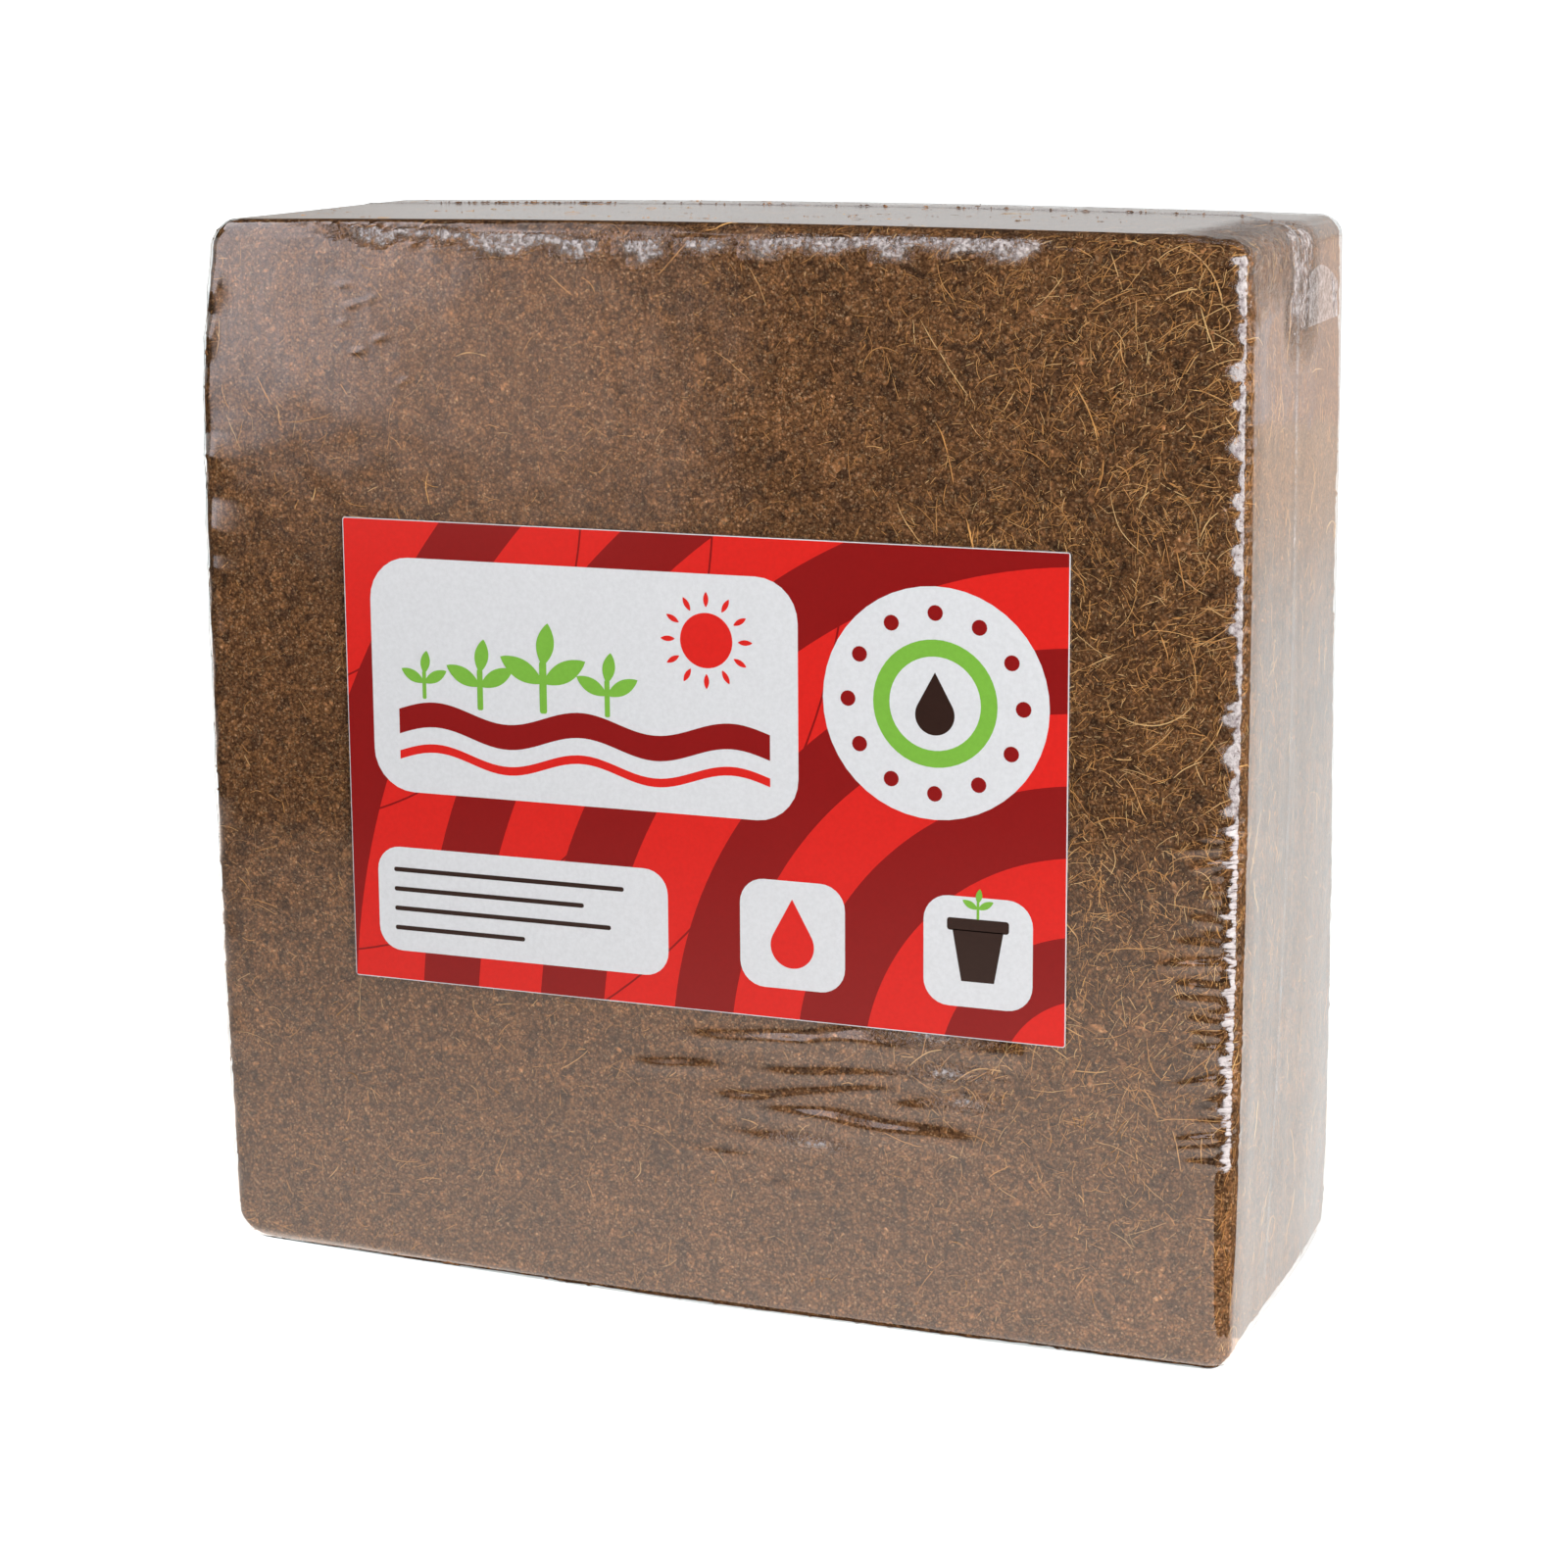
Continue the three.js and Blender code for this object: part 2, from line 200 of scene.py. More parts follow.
def on_bale(sharp, offset):
    """Points of the bale's surface, standing out by offset, for points of the sharp box."""
    return settled(rounded(sharp, offset), offset)


def spaced(*stops):
    """Grid lines from stop to stop, each stop (position, greatest step from there on)."""
    lines = []
    for (start, step), (end, _) in zip(stops, stops[1:]):
        count = max(1, math.ceil((end - start) / step))
        lines.extend(np.linspace(start, end, count + 1)[:-1])
    return np.array([*lines, stops[-1][0]])


def grid_quads(index):
    """Quads between the neighbours in a grid of point numbers."""
    corners = [index[:-1, :-1], index[1:, :-1], index[1:, 1:], index[:-1, 1:]]
    return np.stack(corners, -1).reshape(-1, 4)


def box_grid(lines, faces):
    """Points and outward quads of the named faces of a box that has grid lines on its three axes."""
    points, quads, base = [], [], 0
    for name in faces:
        axis, side, across, up = FACES[name]
        u, v = np.meshgrid(lines[across], lines[up], indexing="ij")
        sheet = np.empty(u.shape + (3,))
        sheet[..., across] = u
        sheet[..., up] = v
        sheet[..., axis] = lines[axis][-1 if side > 0 else 0]
        quad = grid_quads(np.arange(u.size).reshape(u.shape) + base)
        turned = (axis == 1) != (side < 0)
        quads.append(quad[:, ::-1] if turned else quad)
        points.append(sheet.reshape(-1, 3))
        base += u.size
    points = np.concatenate(points)
    _, first, welded = np.unique(np.round(points, 4), axis=0, return_index=True, return_inverse=True)
    return points[first], welded.reshape(-1)[np.concatenate(quads)]


def unfolded(face, u, v, offset):
    """Sharp box points for places on a face, where those past its edge turn over onto the next."""
    axis, side, across, up = FACES[face]
    half = HALF + offset
    over = np.clip(np.abs(u) - half[across], 0, None) + np.clip(np.abs(v) - half[up], 0, None)
    sharp = np.empty((len(u), 3))
    sharp[:, across] = np.clip(u, -half[across], half[across])
    sharp[:, up] = np.clip(v, -half[up], half[up])
    sharp[:, axis] = side * (half[axis] - over)
    return sharp


SLOPE_STEP = 0.4


def place_and_normal(face, u, v, offset):
    """Surface points and outward normals for places on an unfolded face."""
    place = on_bale(unfolded(face, u, v, offset), offset)
    along = on_bale(unfolded(face, u + SLOPE_STEP, v, offset), offset) - place
    up = on_bale(unfolded(face, u, v + SLOPE_STEP, offset), offset) - place
    normal = np.cross(along, up)
    axis, side, *_ = FACES[face]
    normal *= -1 if (axis == 1) != (side < 0) else 1
    length = np.linalg.norm(normal, axis=1, keepdims=True)
    return place, normal / np.maximum(length, 1e-9)


# Meshes


def to_metres(points):
    return (points + BLOCK_MIDDLE) * MM


def add_piece(name, points, faces, materials, slot, face_material=None, replaces=None):
    """Makes a smooth mesh piece that rides on the bale and takes the given materials; its slot is not used.
    """
    mesh = bpy.data.meshes.new(name)
    mesh.from_pydata(to_metres(np.asarray(points)).tolist(), [], [list(map(int, f)) for f in faces])
    for material in materials:
        mesh.materials.append(material)
    if face_material is not None:
        mesh.polygons.foreach_set("material_index", np.asarray(face_material, np.int32))
    mesh.shade_smooth()
    mesh.update()
    piece = bpy.data.objects.new(name, mesh)
    bpy.context.scene.collection.objects.link(piece)
    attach(piece, "root")
    if replaces:
        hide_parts(replaces)
    return piece


def add_shares(mesh, name, values):
    """Stores a share from 0 to 1 on every vertex, for a material to read."""
    layer = mesh.attributes.new(name, "FLOAT", "POINT")
    layer.data.foreach_set("value", np.asarray(values, np.float32))


def joined(parts):
    """All points, faces and shares of the parts of one piece, each part (points, faces, shares, ...)."""
    points, faces, *shares = zip(*parts)
    starts = np.cumsum([0] + [len(p) for p in points[:-1]])
    faces = np.concatenate([part + start for part, start in zip(faces, starts)])
    return np.concatenate(points), faces, *map(np.concatenate, shares)


def vertex_normals(points, quads):
    """Outward normals of a grid of quads."""
    normals = np.zeros_like(points)
    a, b, c, d = (points[quads[:, i]] for i in range(4))
    normal = np.cross(c - a, d - b)
    for i in range(4):
        np.add.at(normals, quads[:, i], normal)
    return normals / np.maximum(np.linalg.norm(normals, axis=1, keepdims=True), 1e-9)


# Node helpers


class Tree:
    """Adds nodes to a node tree and joins them, from left to right."""

    def __init__(self, tree):
        self.tree = tree
        self.column = 0

    def node(self, kind, settings=None, **inputs):
        made = self.tree.nodes.new(kind)
        made.location = (self.column * 190, -(self.column % 3) * 160)
        self.column += 1
        for name, value in (settings or {}).items():
            setattr(made, name, value)
        for name, value in inputs.items():
            self.feed(made.inputs[self.socket_name(made, name)], value)
        return made

    @staticmethod
    def socket_name(made, name):
        if name.startswith("in") and name[2:].isdigit():
            return int(name[2:])
        plain = name.replace("_", " ").lower()
        return next(s.name for s in made.inputs if s.name.lower() == plain)

    def feed(self, socket, value):
        if isinstance(value, bpy.types.NodeSocket):
            self.tree.links.new(value, socket)
        else:
            socket.default_value = value

    def math(self, operation, a, b=0.0, clamp=False):
        made = self.node("ShaderNodeMath", {"operation": operation, "use_clamp": clamp}, in0=a, in1=b)
        return made.outputs[0]

    def times(self, value, *others):
        for other in others:
            value = self.math("MULTIPLY", value, other)
        return value

    def plus(self, value, *others):
        for other in others:
            value = self.math("ADD", value, other)
        return value

    def spread(self, value, low, high, to_low=0.0, to_high=1.0, kind="LINEAR"):
        """The value from low to high, mapped to to_low to to_high and held at both ends."""
        made = self.node("ShaderNodeMapRange", {"interpolation_type": kind}, Value=value)
        for name, limit in zip(("From Min", "From Max", "To Min", "To Max"), (low, high, to_low, to_high)):
            made.inputs[name].default_value = limit
        return made.outputs[0]

    def mix(self, factor, a, b, blend="MIX"):
        made = self.node("ShaderNodeMix", {"data_type": "RGBA", "blend_type": blend})
        self.feed(made.inputs["Factor"], factor)
        self.feed(made.inputs[6], a)
        self.feed(made.inputs[7], b)
        return made.outputs[2]

    def mix_shader(self, factor, a, b):
        made = self.node("ShaderNodeMixShader", in0=factor)
        self.feed(made.inputs[1], a)
        self.feed(made.inputs[2], b)
        return made.outputs[0]

    def place(self):
        """The place on the piece, in metres."""
        return self.node("ShaderNodeTexCoord").outputs["Object"]

    def stored(self, name):
        """A share that is stored on the mesh."""
        return self.node("ShaderNodeAttribute", {"attribute_name": name}).outputs["Fac"]

    def noise(self, vector, scale, detail=3.0, roughness=0.55):
        inputs = {"Vector": vector, "Scale": scale, "Detail": detail, "Roughness": roughness}
        return self.node("ShaderNodeTexNoise", **inputs).outputs["Fac"]

    def streaks(self, vector, turn, scale):
        """Noise drawn out along one direction, by its scale along each axis."""
        made = self.node("ShaderNodeMapping", Vector=vector, Rotation=turn, Scale=scale)
        return self.noise(made.outputs[0], 1.0, 3.0, 0.6)

    def group(self, tree, **inputs):
        return self.node("ShaderNodeGroup", {"node_tree": tree}, **inputs).outputs


def new_group(name, inputs, outputs):
    """A shader node group with named sockets, and the Tree, input and output to fill it with."""
    group = bpy.data.node_groups.new(name, "ShaderNodeTree")
    for label, kind, default in inputs:
        socket = group.interface.new_socket(label, in_out="INPUT", socket_type=kind)
        socket.default_value = default
    for label, kind in outputs:
        group.interface.new_socket(label, in_out="OUTPUT", socket_type=kind)
    tree = Tree(group)
    entry = group.nodes.new("NodeGroupInput")
    finish = group.nodes.new("NodeGroupOutput")
    finish.location = (3000, 0)
    return group, tree, entry.outputs, finish.inputs


def new_material(name):
    material = bpy.data.materials.new(name)
    material.use_nodes = True
    material.node_tree.nodes.clear()
    tree = Tree(material.node_tree)
    finish = material.node_tree.nodes.new("ShaderNodeOutputMaterial")
    finish.location = (3200, 0)
    return material, tree, finish.inputs["Surface"]


def fetch_group(name, build):
    """The named node group, built the first time that it is asked for."""
    return bpy.data.node_groups.get(name) or build(name)


PER_MM = 1.0 / MM
# How far noise bends the crumbs' outlines, in metres
CRUMB_BEND = 0.0004
# How much the pith is darkened deep under the mat of fibres, as painted shade
FIBRE_SHADOW = 0.24


def build_pith_grain(name):
    """Crumbs of pith: a colour for each crumb, patches of husk and of dark, painted shade in the gaps
    between crumbs and under the fibres, and a height.
    """
    group, tree, given, wanted = new_group(
        name,
        [
            ("Crumb Size", "NodeSocketFloat", 0.9),
            ("Shadow", "NodeSocketFloat", 0.0),
            ("Pith", "NodeSocketColor", (0.17, 0.08, 0.035, 1)),
            ("Dark Pith", "NodeSocketColor", (0.04, 0.022, 0.013, 1)),
            ("Husk", "NodeSocketColor", (0.33, 0.13, 0.04, 1)),
            ("Tan", "NodeSocketColor", (0.45, 0.28, 0.13, 1)),
        ],
        [("Color", "NodeSocketColor"), ("Height", "NodeSocketFloat")],
    )
    place = tree.place()
    per_crumb = tree.math("DIVIDE", PER_MM, given["Crumb Size"])
    bend = tree.node("ShaderNodeTexNoise", Vector=place, Scale=900.0, Detail=2.0).outputs["Color"]
    bending = {"operation": "MULTIPLY_ADD"}
    bent = tree.node("ShaderNodeVectorMath", bending, in0=bend, in1=(CRUMB_BEND,) * 3, in2=place).outputs[0]

    def cells(share):
        made = tree.node("ShaderNodeTexVoronoi", Vector=bent, Randomness=1.0)
        tree.feed(made.inputs["Scale"], tree.times(per_crumb, share))
        colours = tree.node("ShaderNodeSeparateColor", Color=made.outputs["Color"]).outputs
        return colours, made.outputs["Distance"]

    crumb, crumb_far = cells(1.0)
    fine, fine_far = cells(2.1)
    flake, _ = cells(0.3)
    patch = tree.noise(place, 170.0, 4.0, 0.6)
    other = tree.noise(place, 240.0, 4.0, 0.6)
    broad = tree.noise(place, 45.0, 3.0)

    # Which crumbs, patches and flakes take which colour, and how strongly
    husky = tree.spread(patch, 0.5, 0.66, 0.0, 0.6)
    husk_crumb = tree.spread(crumb[1], 0.85, 0.87, 0.0, 0.5)
    flaked = tree.spread(flake[0], 0.85, 0.88, 0.0, 0.7)
    dark_flake = tree.spread(flake[1], 0.84, 0.88, 0.0, 0.55)
    dark_patch = tree.spread(other, 0.54, 0.68, 0.0, 0.6)
    light_bit = tree.spread(fine[0], 0.86, 0.9, 0.0, 0.4)
    colour = tree.mix(tree.math("MAXIMUM", husky, husk_crumb), given["Pith"], given["Husk"])
    colour = tree.mix(tree.math("MAXIMUM", dark_patch, dark_flake), colour, given["Dark Pith"])
    colour = tree.mix(flaked, colour, given["Husk"])
    colour = tree.mix(light_bit, colour, given["Tan"])

    # How bright each crumb is, with painted shade in the gaps between crumbs and under the fibres
    crumb_level = tree.spread(crumb[0], 0.0, 1.0, 0.58, 1.42)
    fine_level = tree.spread(fine[1], 0.0, 1.0, 0.55, 1.4)
    painted_gap_shade = tree.spread(crumb_far, 0.15, 0.75, 1.1, 0.5)
    breadth = tree.spread(broad, 0.3, 0.7, 0.85, 1.15)
    shadowed = tree.math("SUBTRACT", 1.0, tree.times(given["Shadow"], FIBRE_SHADOW))
    level = tree.times(crumb_level, fine_level, painted_gap_shade, breadth, shadowed)
    tree.feed(wanted["Color"], tree.mix(1.0, colour, level, "MULTIPLY"))
    domes = tree.times(tree.math("SUBTRACT", 1.0, crumb_far), crumb[0])
    fine_domes = tree.times(tree.math("SUBTRACT", 1.0, fine_far), 0.5)
    tree.feed(wanted["Height"], tree.plus(domes, fine_domes, patch))
    return group


def build_fibre_tint(name):
    """A fibre's own shade, with darker and lighter stretches along it."""
    group, tree, given, wanted = new_group(
        name,
        [
            ("Shade", "NodeSocketFloat", 0.5),
            ("Dull", "NodeSocketColor", (0.16, 0.085, 0.035, 1)),
            ("Golden", "NodeSocketColor", (0.42, 0.25, 0.10, 1)),
            ("Pale", "NodeSocketColor", (0.62, 0.46, 0.24, 1)),
        ],
        [("Color", "NodeSocketColor"), ("Height", "NodeSocketFloat")],
    )
    place = tree.place()
    stretch = tree.math("SUBTRACT", tree.noise(place, 350.0, 2.0), 0.5)
    shade = tree.plus(given["Shade"], tree.times(stretch, 0.5))
    low = tree.spread(shade, 0.05, 0.6)
    high = tree.spread(shade, 0.6, 1.1)
    colour = tree.mix(high, tree.mix(low, given["Dull"], given["Golden"]), given["Pale"])
    tree.feed(wanted["Color"], colour)
    tree.feed(wanted["Height"], tree.noise(place, 2600.0, 1.0))
    return group


def build_film_crinkle(name):
    """Creases of clear film: a bump's height, where gathered or crumpled film is milky white, partly as
    painted glints and reflections, and a painted shine for its lit facets.
    """
    group, tree, given, wanted = new_group(
        name,
        [("Gather", "NodeSocketFloat", 0.0), ("Crumple", "NodeSocketFloat", 0.0)],
        [("Height", "NodeSocketFloat"), ("Milk", "NodeSocketFloat"), ("Shine", "NodeSocketFloat")],
    )
    place = tree.place()
    hatch = tree.spread(tree.streaks(place, (0.0, 0.3, 0.0), (260.0, 260.0, 1500.0)), 0.3, 0.7)
    facets = tree.spread(tree.noise(place, 620.0, 4.0, 0.7), 0.32, 0.68)
    specks = tree.spread(tree.noise(place, 1150.0, 2.0, 0.6), 0.6, 0.72)
    hatched = tree.times(given["Gather"], tree.plus(tree.times(hatch, 1.2), 0.35))
    pitted = tree.plus(tree.times(tree.math("SUBTRACT", facets, specks), 0.7), 0.65)
    crumpled = tree.times(given["Crumple"], pitted)
    tight = tree.plus(tree.times(hatch, given["Gather"]), tree.times(facets, given["Crumple"], 1.8))
    soft = tree.times(tree.noise(place, 30.0, 2.0), 0.6)
    pulled = tree.times(tree.streaks(place, (0.12, 0.0, 0.0), (230.0, 750.0, 55.0)), 0.06)
    tree.feed(wanted["Height"], tree.plus(tight, soft, pulled))
    # Milky share: partly real haze of bunched film, partly painted glints and reflections
    tree.feed(wanted["Milk"], tree.spread(tree.math("MAXIMUM", hatched, crumpled), 0.42, 0.8))
    # Painted shine: lit facets and hatch lines, against painted shade in the folds
    tree.feed(wanted["Shine"], tree.math("MAXIMUM", tree.times(hatch, given["Gather"]), facets))
    return group


# Materials

FILM_INDEX = 1.5
# How much larger the crumbs look on a flake of husk
FLAKE_COARSENESS = 1.6


def bump(tree, height, depth, strength=1.0):
    made = tree.node("ShaderNodeBump", Height=height, Distance=depth, Strength=strength)
    return made.outputs["Normal"]


def plain_surface(tree, surface, colour, relief, roughness, gloss):
    """An opaque surface of that colour, its relief given as (height, depth in metres, strength)."""
    normal = bump(tree, *relief)
    inputs = {"Base_Color": colour, "Roughness": roughness, "Specular_IOR_Level": gloss, "Normal": normal}
    made = tree.node("ShaderNodeBsdfPrincipled", **inputs)
    tree.feed(surface, made.outputs[0])


def coir_material(settings):
    material, tree, surface = new_material("pressed coir")
    grain = tree.group(
        fetch_group("pith grain", build_pith_grain),
        Crumb_Size=settings.crumb_size / MM,
        Shadow=tree.stored("under_fibres"),
        Pith=settings.pith_colour,
        Dark_Pith=settings.dark_colour,
        Husk=settings.husk_colour,
        Tan=settings.tan_colour,
    )
    plain_surface(tree, surface, grain["Color"], (grain["Height"], 0.0004, 0.8), 0.95, 0.1)
    return material


def flake_material(settings):
    material, tree, surface = new_material("husk flakes")
    grain = tree.group(
        fetch_group("pith grain", build_pith_grain),
        Crumb_Size=settings.crumb_size / MM * FLAKE_COARSENESS,
        Shadow=0.0,
        Pith=settings.husk_colour,
        Dark_Pith=settings.pith_colour,
        Husk=settings.husk_colour,
        Tan=settings.tan_colour,
    )
    plain_surface(tree, surface, grain["Color"], (grain["Height"], 0.0002, 0.6), 0.8, 0.15)
    return material


def fibre_material(settings):
    material, tree, surface = new_material("coir fibre")
    tint = tree.group(
        fetch_group("fibre tint", build_fibre_tint),
        Shade=tree.stored("shade"),
        Dull=settings.dull_fibre_colour,
        Golden=settings.fibre_colour,
        Pale=settings.pale_fibre_colour,
    )
    plain_surface(tree, surface, tint["Color"], (tint["Height"], 0.00005, 0.4), 0.6, 0.2)
    return material


def film_material(settings):
    """Clear film: a mirror by its Fresnel share over plain transparency, milky where gathered. The milky
    white is partly real haze of bunched film and partly painted glints and reflections, with painted shade
    in its folds.

    The Fresnel node turns its index round for rays from inside, so it gets the inverse there: both
    ways through a thin film are alike.
    """
    material, tree, surface = new_material("clear shrink film")
    material.use_transparent_shadow = True
    crinkle = tree.group(
        fetch_group("film crinkle", build_film_crinkle),
        Gather=tree.stored("gather"),
        Crumple=tree.stored("crumple"),
    )
    normal = bump(tree, crinkle["Height"], 0.0006)
    inside = tree.node("ShaderNodeNewGeometry").outputs["Backfacing"]
    index = tree.spread(inside, 0.0, 1.0, FILM_INDEX, 1 / FILM_INDEX)
    one_side = tree.node("ShaderNodeFresnel", IOR=index, Normal=normal).outputs[0]
    both_sides = tree.math("DIVIDE", tree.times(one_side, 2.0), tree.plus(one_side, 1.0))
    clear = tree.node("ShaderNodeBsdfTransparent", Color=settings.tint)
    mirror = tree.node("ShaderNodeBsdfGlossy", Color=(1, 1, 1, 1), Roughness=0.07, Normal=normal)
    glossy = tree.mix_shader(both_sides, clear.outputs[0], mirror.outputs[0])
    # Painted light on the milky film: its colour is lighter on lit facets and darker in the folds
    shade = tree.spread(crinkle["Shine"], 0.15, 0.75)
    white = tree.mix(shade, tuple(settings.milk_painted_shade), tuple(settings.milk_and_glint_colour))
    inputs = {"Base_Color": white, "Roughness": 0.3, "Specular_IOR_Level": 0.6, "Normal": normal}
    milk_and_glint = tree.node("ShaderNodeBsdfPrincipled", **inputs)
    # How much milky white shows: partly real haze, partly painted glints and reflections
    milky = tree.math("MULTIPLY", crinkle["Milk"], settings.milk_and_glint_share, clamp=True)
    tree.feed(surface, tree.mix_shader(milky, glossy, milk_and_glint.outputs[0]))
    return material


def print_material(name, colour):
    """Coated paper with flat ink, and the faint tooth of its surface."""
    material, tree, surface = new_material(name)
    place = tree.place()
    mottle = tree.spread(tree.noise(place, 900.0, 2.0), 0.3, 0.7, 0.93, 1.0)
    ink = tree.mix(1.0, tuple(colour), mottle, "MULTIPLY")
    plain_surface(tree, surface, ink, (tree.noise(place, 160.0, 2.0), 0.00004, 0.6), 0.2, 0.3)
    return material


# Settings that a user would change


def colour_property(name, description, default):
    return bpy.props.FloatVectorProperty(
        name=name,
        description=description,
        default=default,
        size=4,
        min=0.0,
        max=1.0,
        subtype="COLOR",
    )


def length_property(name, description, millimetres):
    return bpy.props.FloatProperty(
        name=name,
        description=description,
        default=millimetres * MM,
        min=0.0,
        unit="LENGTH",
        subtype="DISTANCE",
        precision=5,
    )


class CoirSettings(bpy.types.PropertyGroup):
    """Sizes and colours of the pith, the fibres and the husk flakes."""

    crumb_size: length_property("Crumb Size", "Width of one crumb of pith", 0.9)
    dent_depth: length_property("Dent Depth", "Depth of the pits in the pressed faces", 0.9)
    crumble_depth: length_property("Crumble Depth", "How deep the edges are crumbled", 0.5)
    grid_step: length_property("Grid Step", "Width of the surface mesh's cells", 2.1)
    fibre_width: length_property("Fibre Width", "Width of a middling fibre", 0.22)
    fibre_count: bpy.props.IntProperty(
        name="Fibres", description="How many fibres lie on the label's side", default=8500, min=0
    )
    flake_count: bpy.props.IntProperty(
        name="Flakes", description="How many husk flakes lie on all six faces", default=9000, min=0
    )
    pith_colour: colour_property("Pith", "Colour of most crumbs", (0.245, 0.116, 0.052, 1))
    dark_colour: colour_property("Dark Pith", "Colour of damp or burnt crumbs", (0.08, 0.047, 0.03, 1))
    husk_colour: colour_property("Husk", "Colour of orange husk crumbs", (0.36, 0.165, 0.066, 1))
    tan_colour: colour_property("Tan", "Colour of the palest crumbs", (0.6, 0.41, 0.23, 1))
    dull_fibre_colour: colour_property("Dull Fibre", "Colour of the darkest fibres", (0.29, 0.13, 0.043, 1))
    fibre_colour: colour_property("Fibre", "Colour of most fibres", (0.68, 0.33, 0.1, 1))
    pale_fibre_colour: colour_property("Pale Fibre", "Colour of the palest fibres", (0.88, 0.62, 0.29, 1))


class FilmSettings(bpy.types.PropertyGroup):
    """Sizes and colours of the shrink film."""

    stand_off: length_property("Stand-off", "How far the film lies outside the block", 0.25)
    pleat_height: length_property("Pleat Height", "Height of the tallest pleat", 1.0)
    tint: colour_property("Tint", "Light that the clear film lets through", (0.97, 0.97, 0.97, 1))
    # Colour of milky film, partly real haze and partly painted glints and reflections
    milk_and_glint_colour: colour_property("Milky Colour", "Colour of crumpled film", (0.93, 0.86, 0.87, 1))
    # Painted shade in the folds of milky film
    milk_painted_shade: colour_property("Milky Shade", "Colour in the folds of crumpled film", (0.48, 0.4, 0.42, 1))
    # How strong the milky white is, with its painted glints and reflections
    milk_and_glint_share: bpy.props.FloatProperty(
        name="Milk And Glint Share",
        description="How much gathered film hides what is behind it",
        default=0.85,
        min=0.0,
        max=1.0,
        subtype="FACTOR",
    )


class LabelSettings(bpy.types.PropertyGroup):
    """Colours of the label's paper and inks."""

    paper: colour_property("Paper", "The bare paper", (0.78, 0.8, 0.84, 1))
    red: colour_property("Red", "The ground", (0.78, 0.018, 0.013, 1))
    dark_red: colour_property("Dark Red", "The curved bands", (0.29, 0.007, 0.007, 1))
    brown: colour_property("Brown", "The dark rules and shapes", (0.035, 0.016, 0.012, 1))
    green: colour_property("Green", "The small green shapes", (0.22, 0.52, 0.06, 1))


class StageSettings(bpy.types.PropertyGroup):
    """The floor and the studio light."""

    floor_colour: colour_property("Floor", "Colour of the floor", (0.93, 0.93, 0.93, 1))
    room_light: bpy.props.FloatProperty(
        name="Room Light", description="Strength of the even light all round", default=0.32, min=0.0
    )
    key_power: bpy.props.FloatProperty(
        name="Key Light", description="Power of the large soft light", default=52.0, min=0.0, unit="POWER"
    )


SETTINGS = {
    "bale_coir": CoirSettings,
    "bale_film": FilmSettings,
    "bale_label": LabelSettings,
    "bale_stage": StageSettings,
}


# The pressed block


def edge_slant(normals):
    """0 on a flat face and up to 1 where the surface turns over an edge."""
    return np.clip((1 - np.abs(normals).max(1)) * 4, 0, 1)


def press_dents(points, normals, dent, crumble):
    """How far the pressed surface lies below its form: pits all over, and crumbled edges."""
    slant = edge_slant(normals)
    pits = lumps(points, 3.8, 1) * 0.45 - 0.3
    hollows = lumps(points, 26, 2) * lumps(points, 10, 3)
    worn = slant * (0.6 * lumps(points, 11, 4) + 0.4 * lumps(points, 4.5, 5))
    return dent * (pits + hollows) + crumble * worn


class BALE_OT_coir_block(bpy.types.Operator):
    """Make the pressed block with its pitted faces and crumbled edges"""

    bl_idname = "bale.coir_block"
    bl_label = "Coir Block"

    def execute(self, context):
        coir = context.scene.bale_coir
        step = coir.grid_step / MM
        lines = [spaced((-h, 1.1), (-h + 6, step), (h - 6, 1.1), (h, 1.1)) for h in HALF]
        sharp, quads = box_grid(lines, FACES)
        points = on_bale(sharp, 0)
        normals = vertex_normals(points, quads)
        dents = press_dents(points, normals, coir.dent_depth / MM, coir.crumble_depth / MM)
        points = points - normals * dents[:, None]
        piece = add_piece("coir_bale", points, quads, [coir_material(coir)], "coir", replaces="coir_block")
        # Painted shade on the pith under the mat of fibres, on the front only
        on_front = smoothstep(6, 0, sharp[:, 1] + HALF[1])
        add_shares(piece.data, "under_fibres", on_front * fibre_mat("front", sharp[:, 0], sharp[:, 2]))
        return {"FINISHED"}


# Fibres


def fibre_mat(face, u, v):
    """The share, 0 to 1, to which a place lies in the thick mat of fibres near the right front edge."""
    if face == "front":
        return smoothstep(35, 118, u) * smoothstep(-138, -60, v)
    if face == "right":
        return 0.55 + 0.45 * smoothstep(20, -50, u)
    return np.full(len(u), 0.3)


def fibre_crowd(face, u, v):
    """The share of places on a face that get a fibre."""
    axis, side, *_ = FACES[face]
    spot = np.stack([u, v, np.full(len(u), 97.0 * axis + 41.0 * side)], 1)
    clumps = smoothstep(0.4, 0.75, lumps(spot, 21, 11))
    return np.clip(0.05 + 0.12 * clumps + fibre_mat(face, u, v) * 0.85, 0, 1)


def bit_crowd(face, u, v):
    return 0.4 + 0.6 * fibre_mat(face, u, v)


# Each kind: share of the front's count, length, curve per mm, width, lift over the pits, stations, ridge
FIBRE_KINDS = {
    "long": (0.03, (10.0, 28.0), 0.045, 1.0, (0.0, 0.25), 12, True),
    "middle": (1.2, (2.5, 13.0), 0.1, 0.74, (-0.15, 0.22), 8, False),
    "bit": (0.9, (0.8, 2.6), 0.04, 1.0, (-0.1, 0.15), 3, False),
}


def strewn(face, count, crowd, draws):
    """Random places on a face, crowded as the crowd function says."""
    _, _, across, up = FACES[face]
    u = draws.uniform(-HALF[across], HALF[across], count * 8)
    v = draws.uniform(-HALF[up], HALF[up], count * 8)
    kept = np.flatnonzero(draws.random(len(u)) < crowd(face, u, v))[:count]
    return u[kept], v[kept]


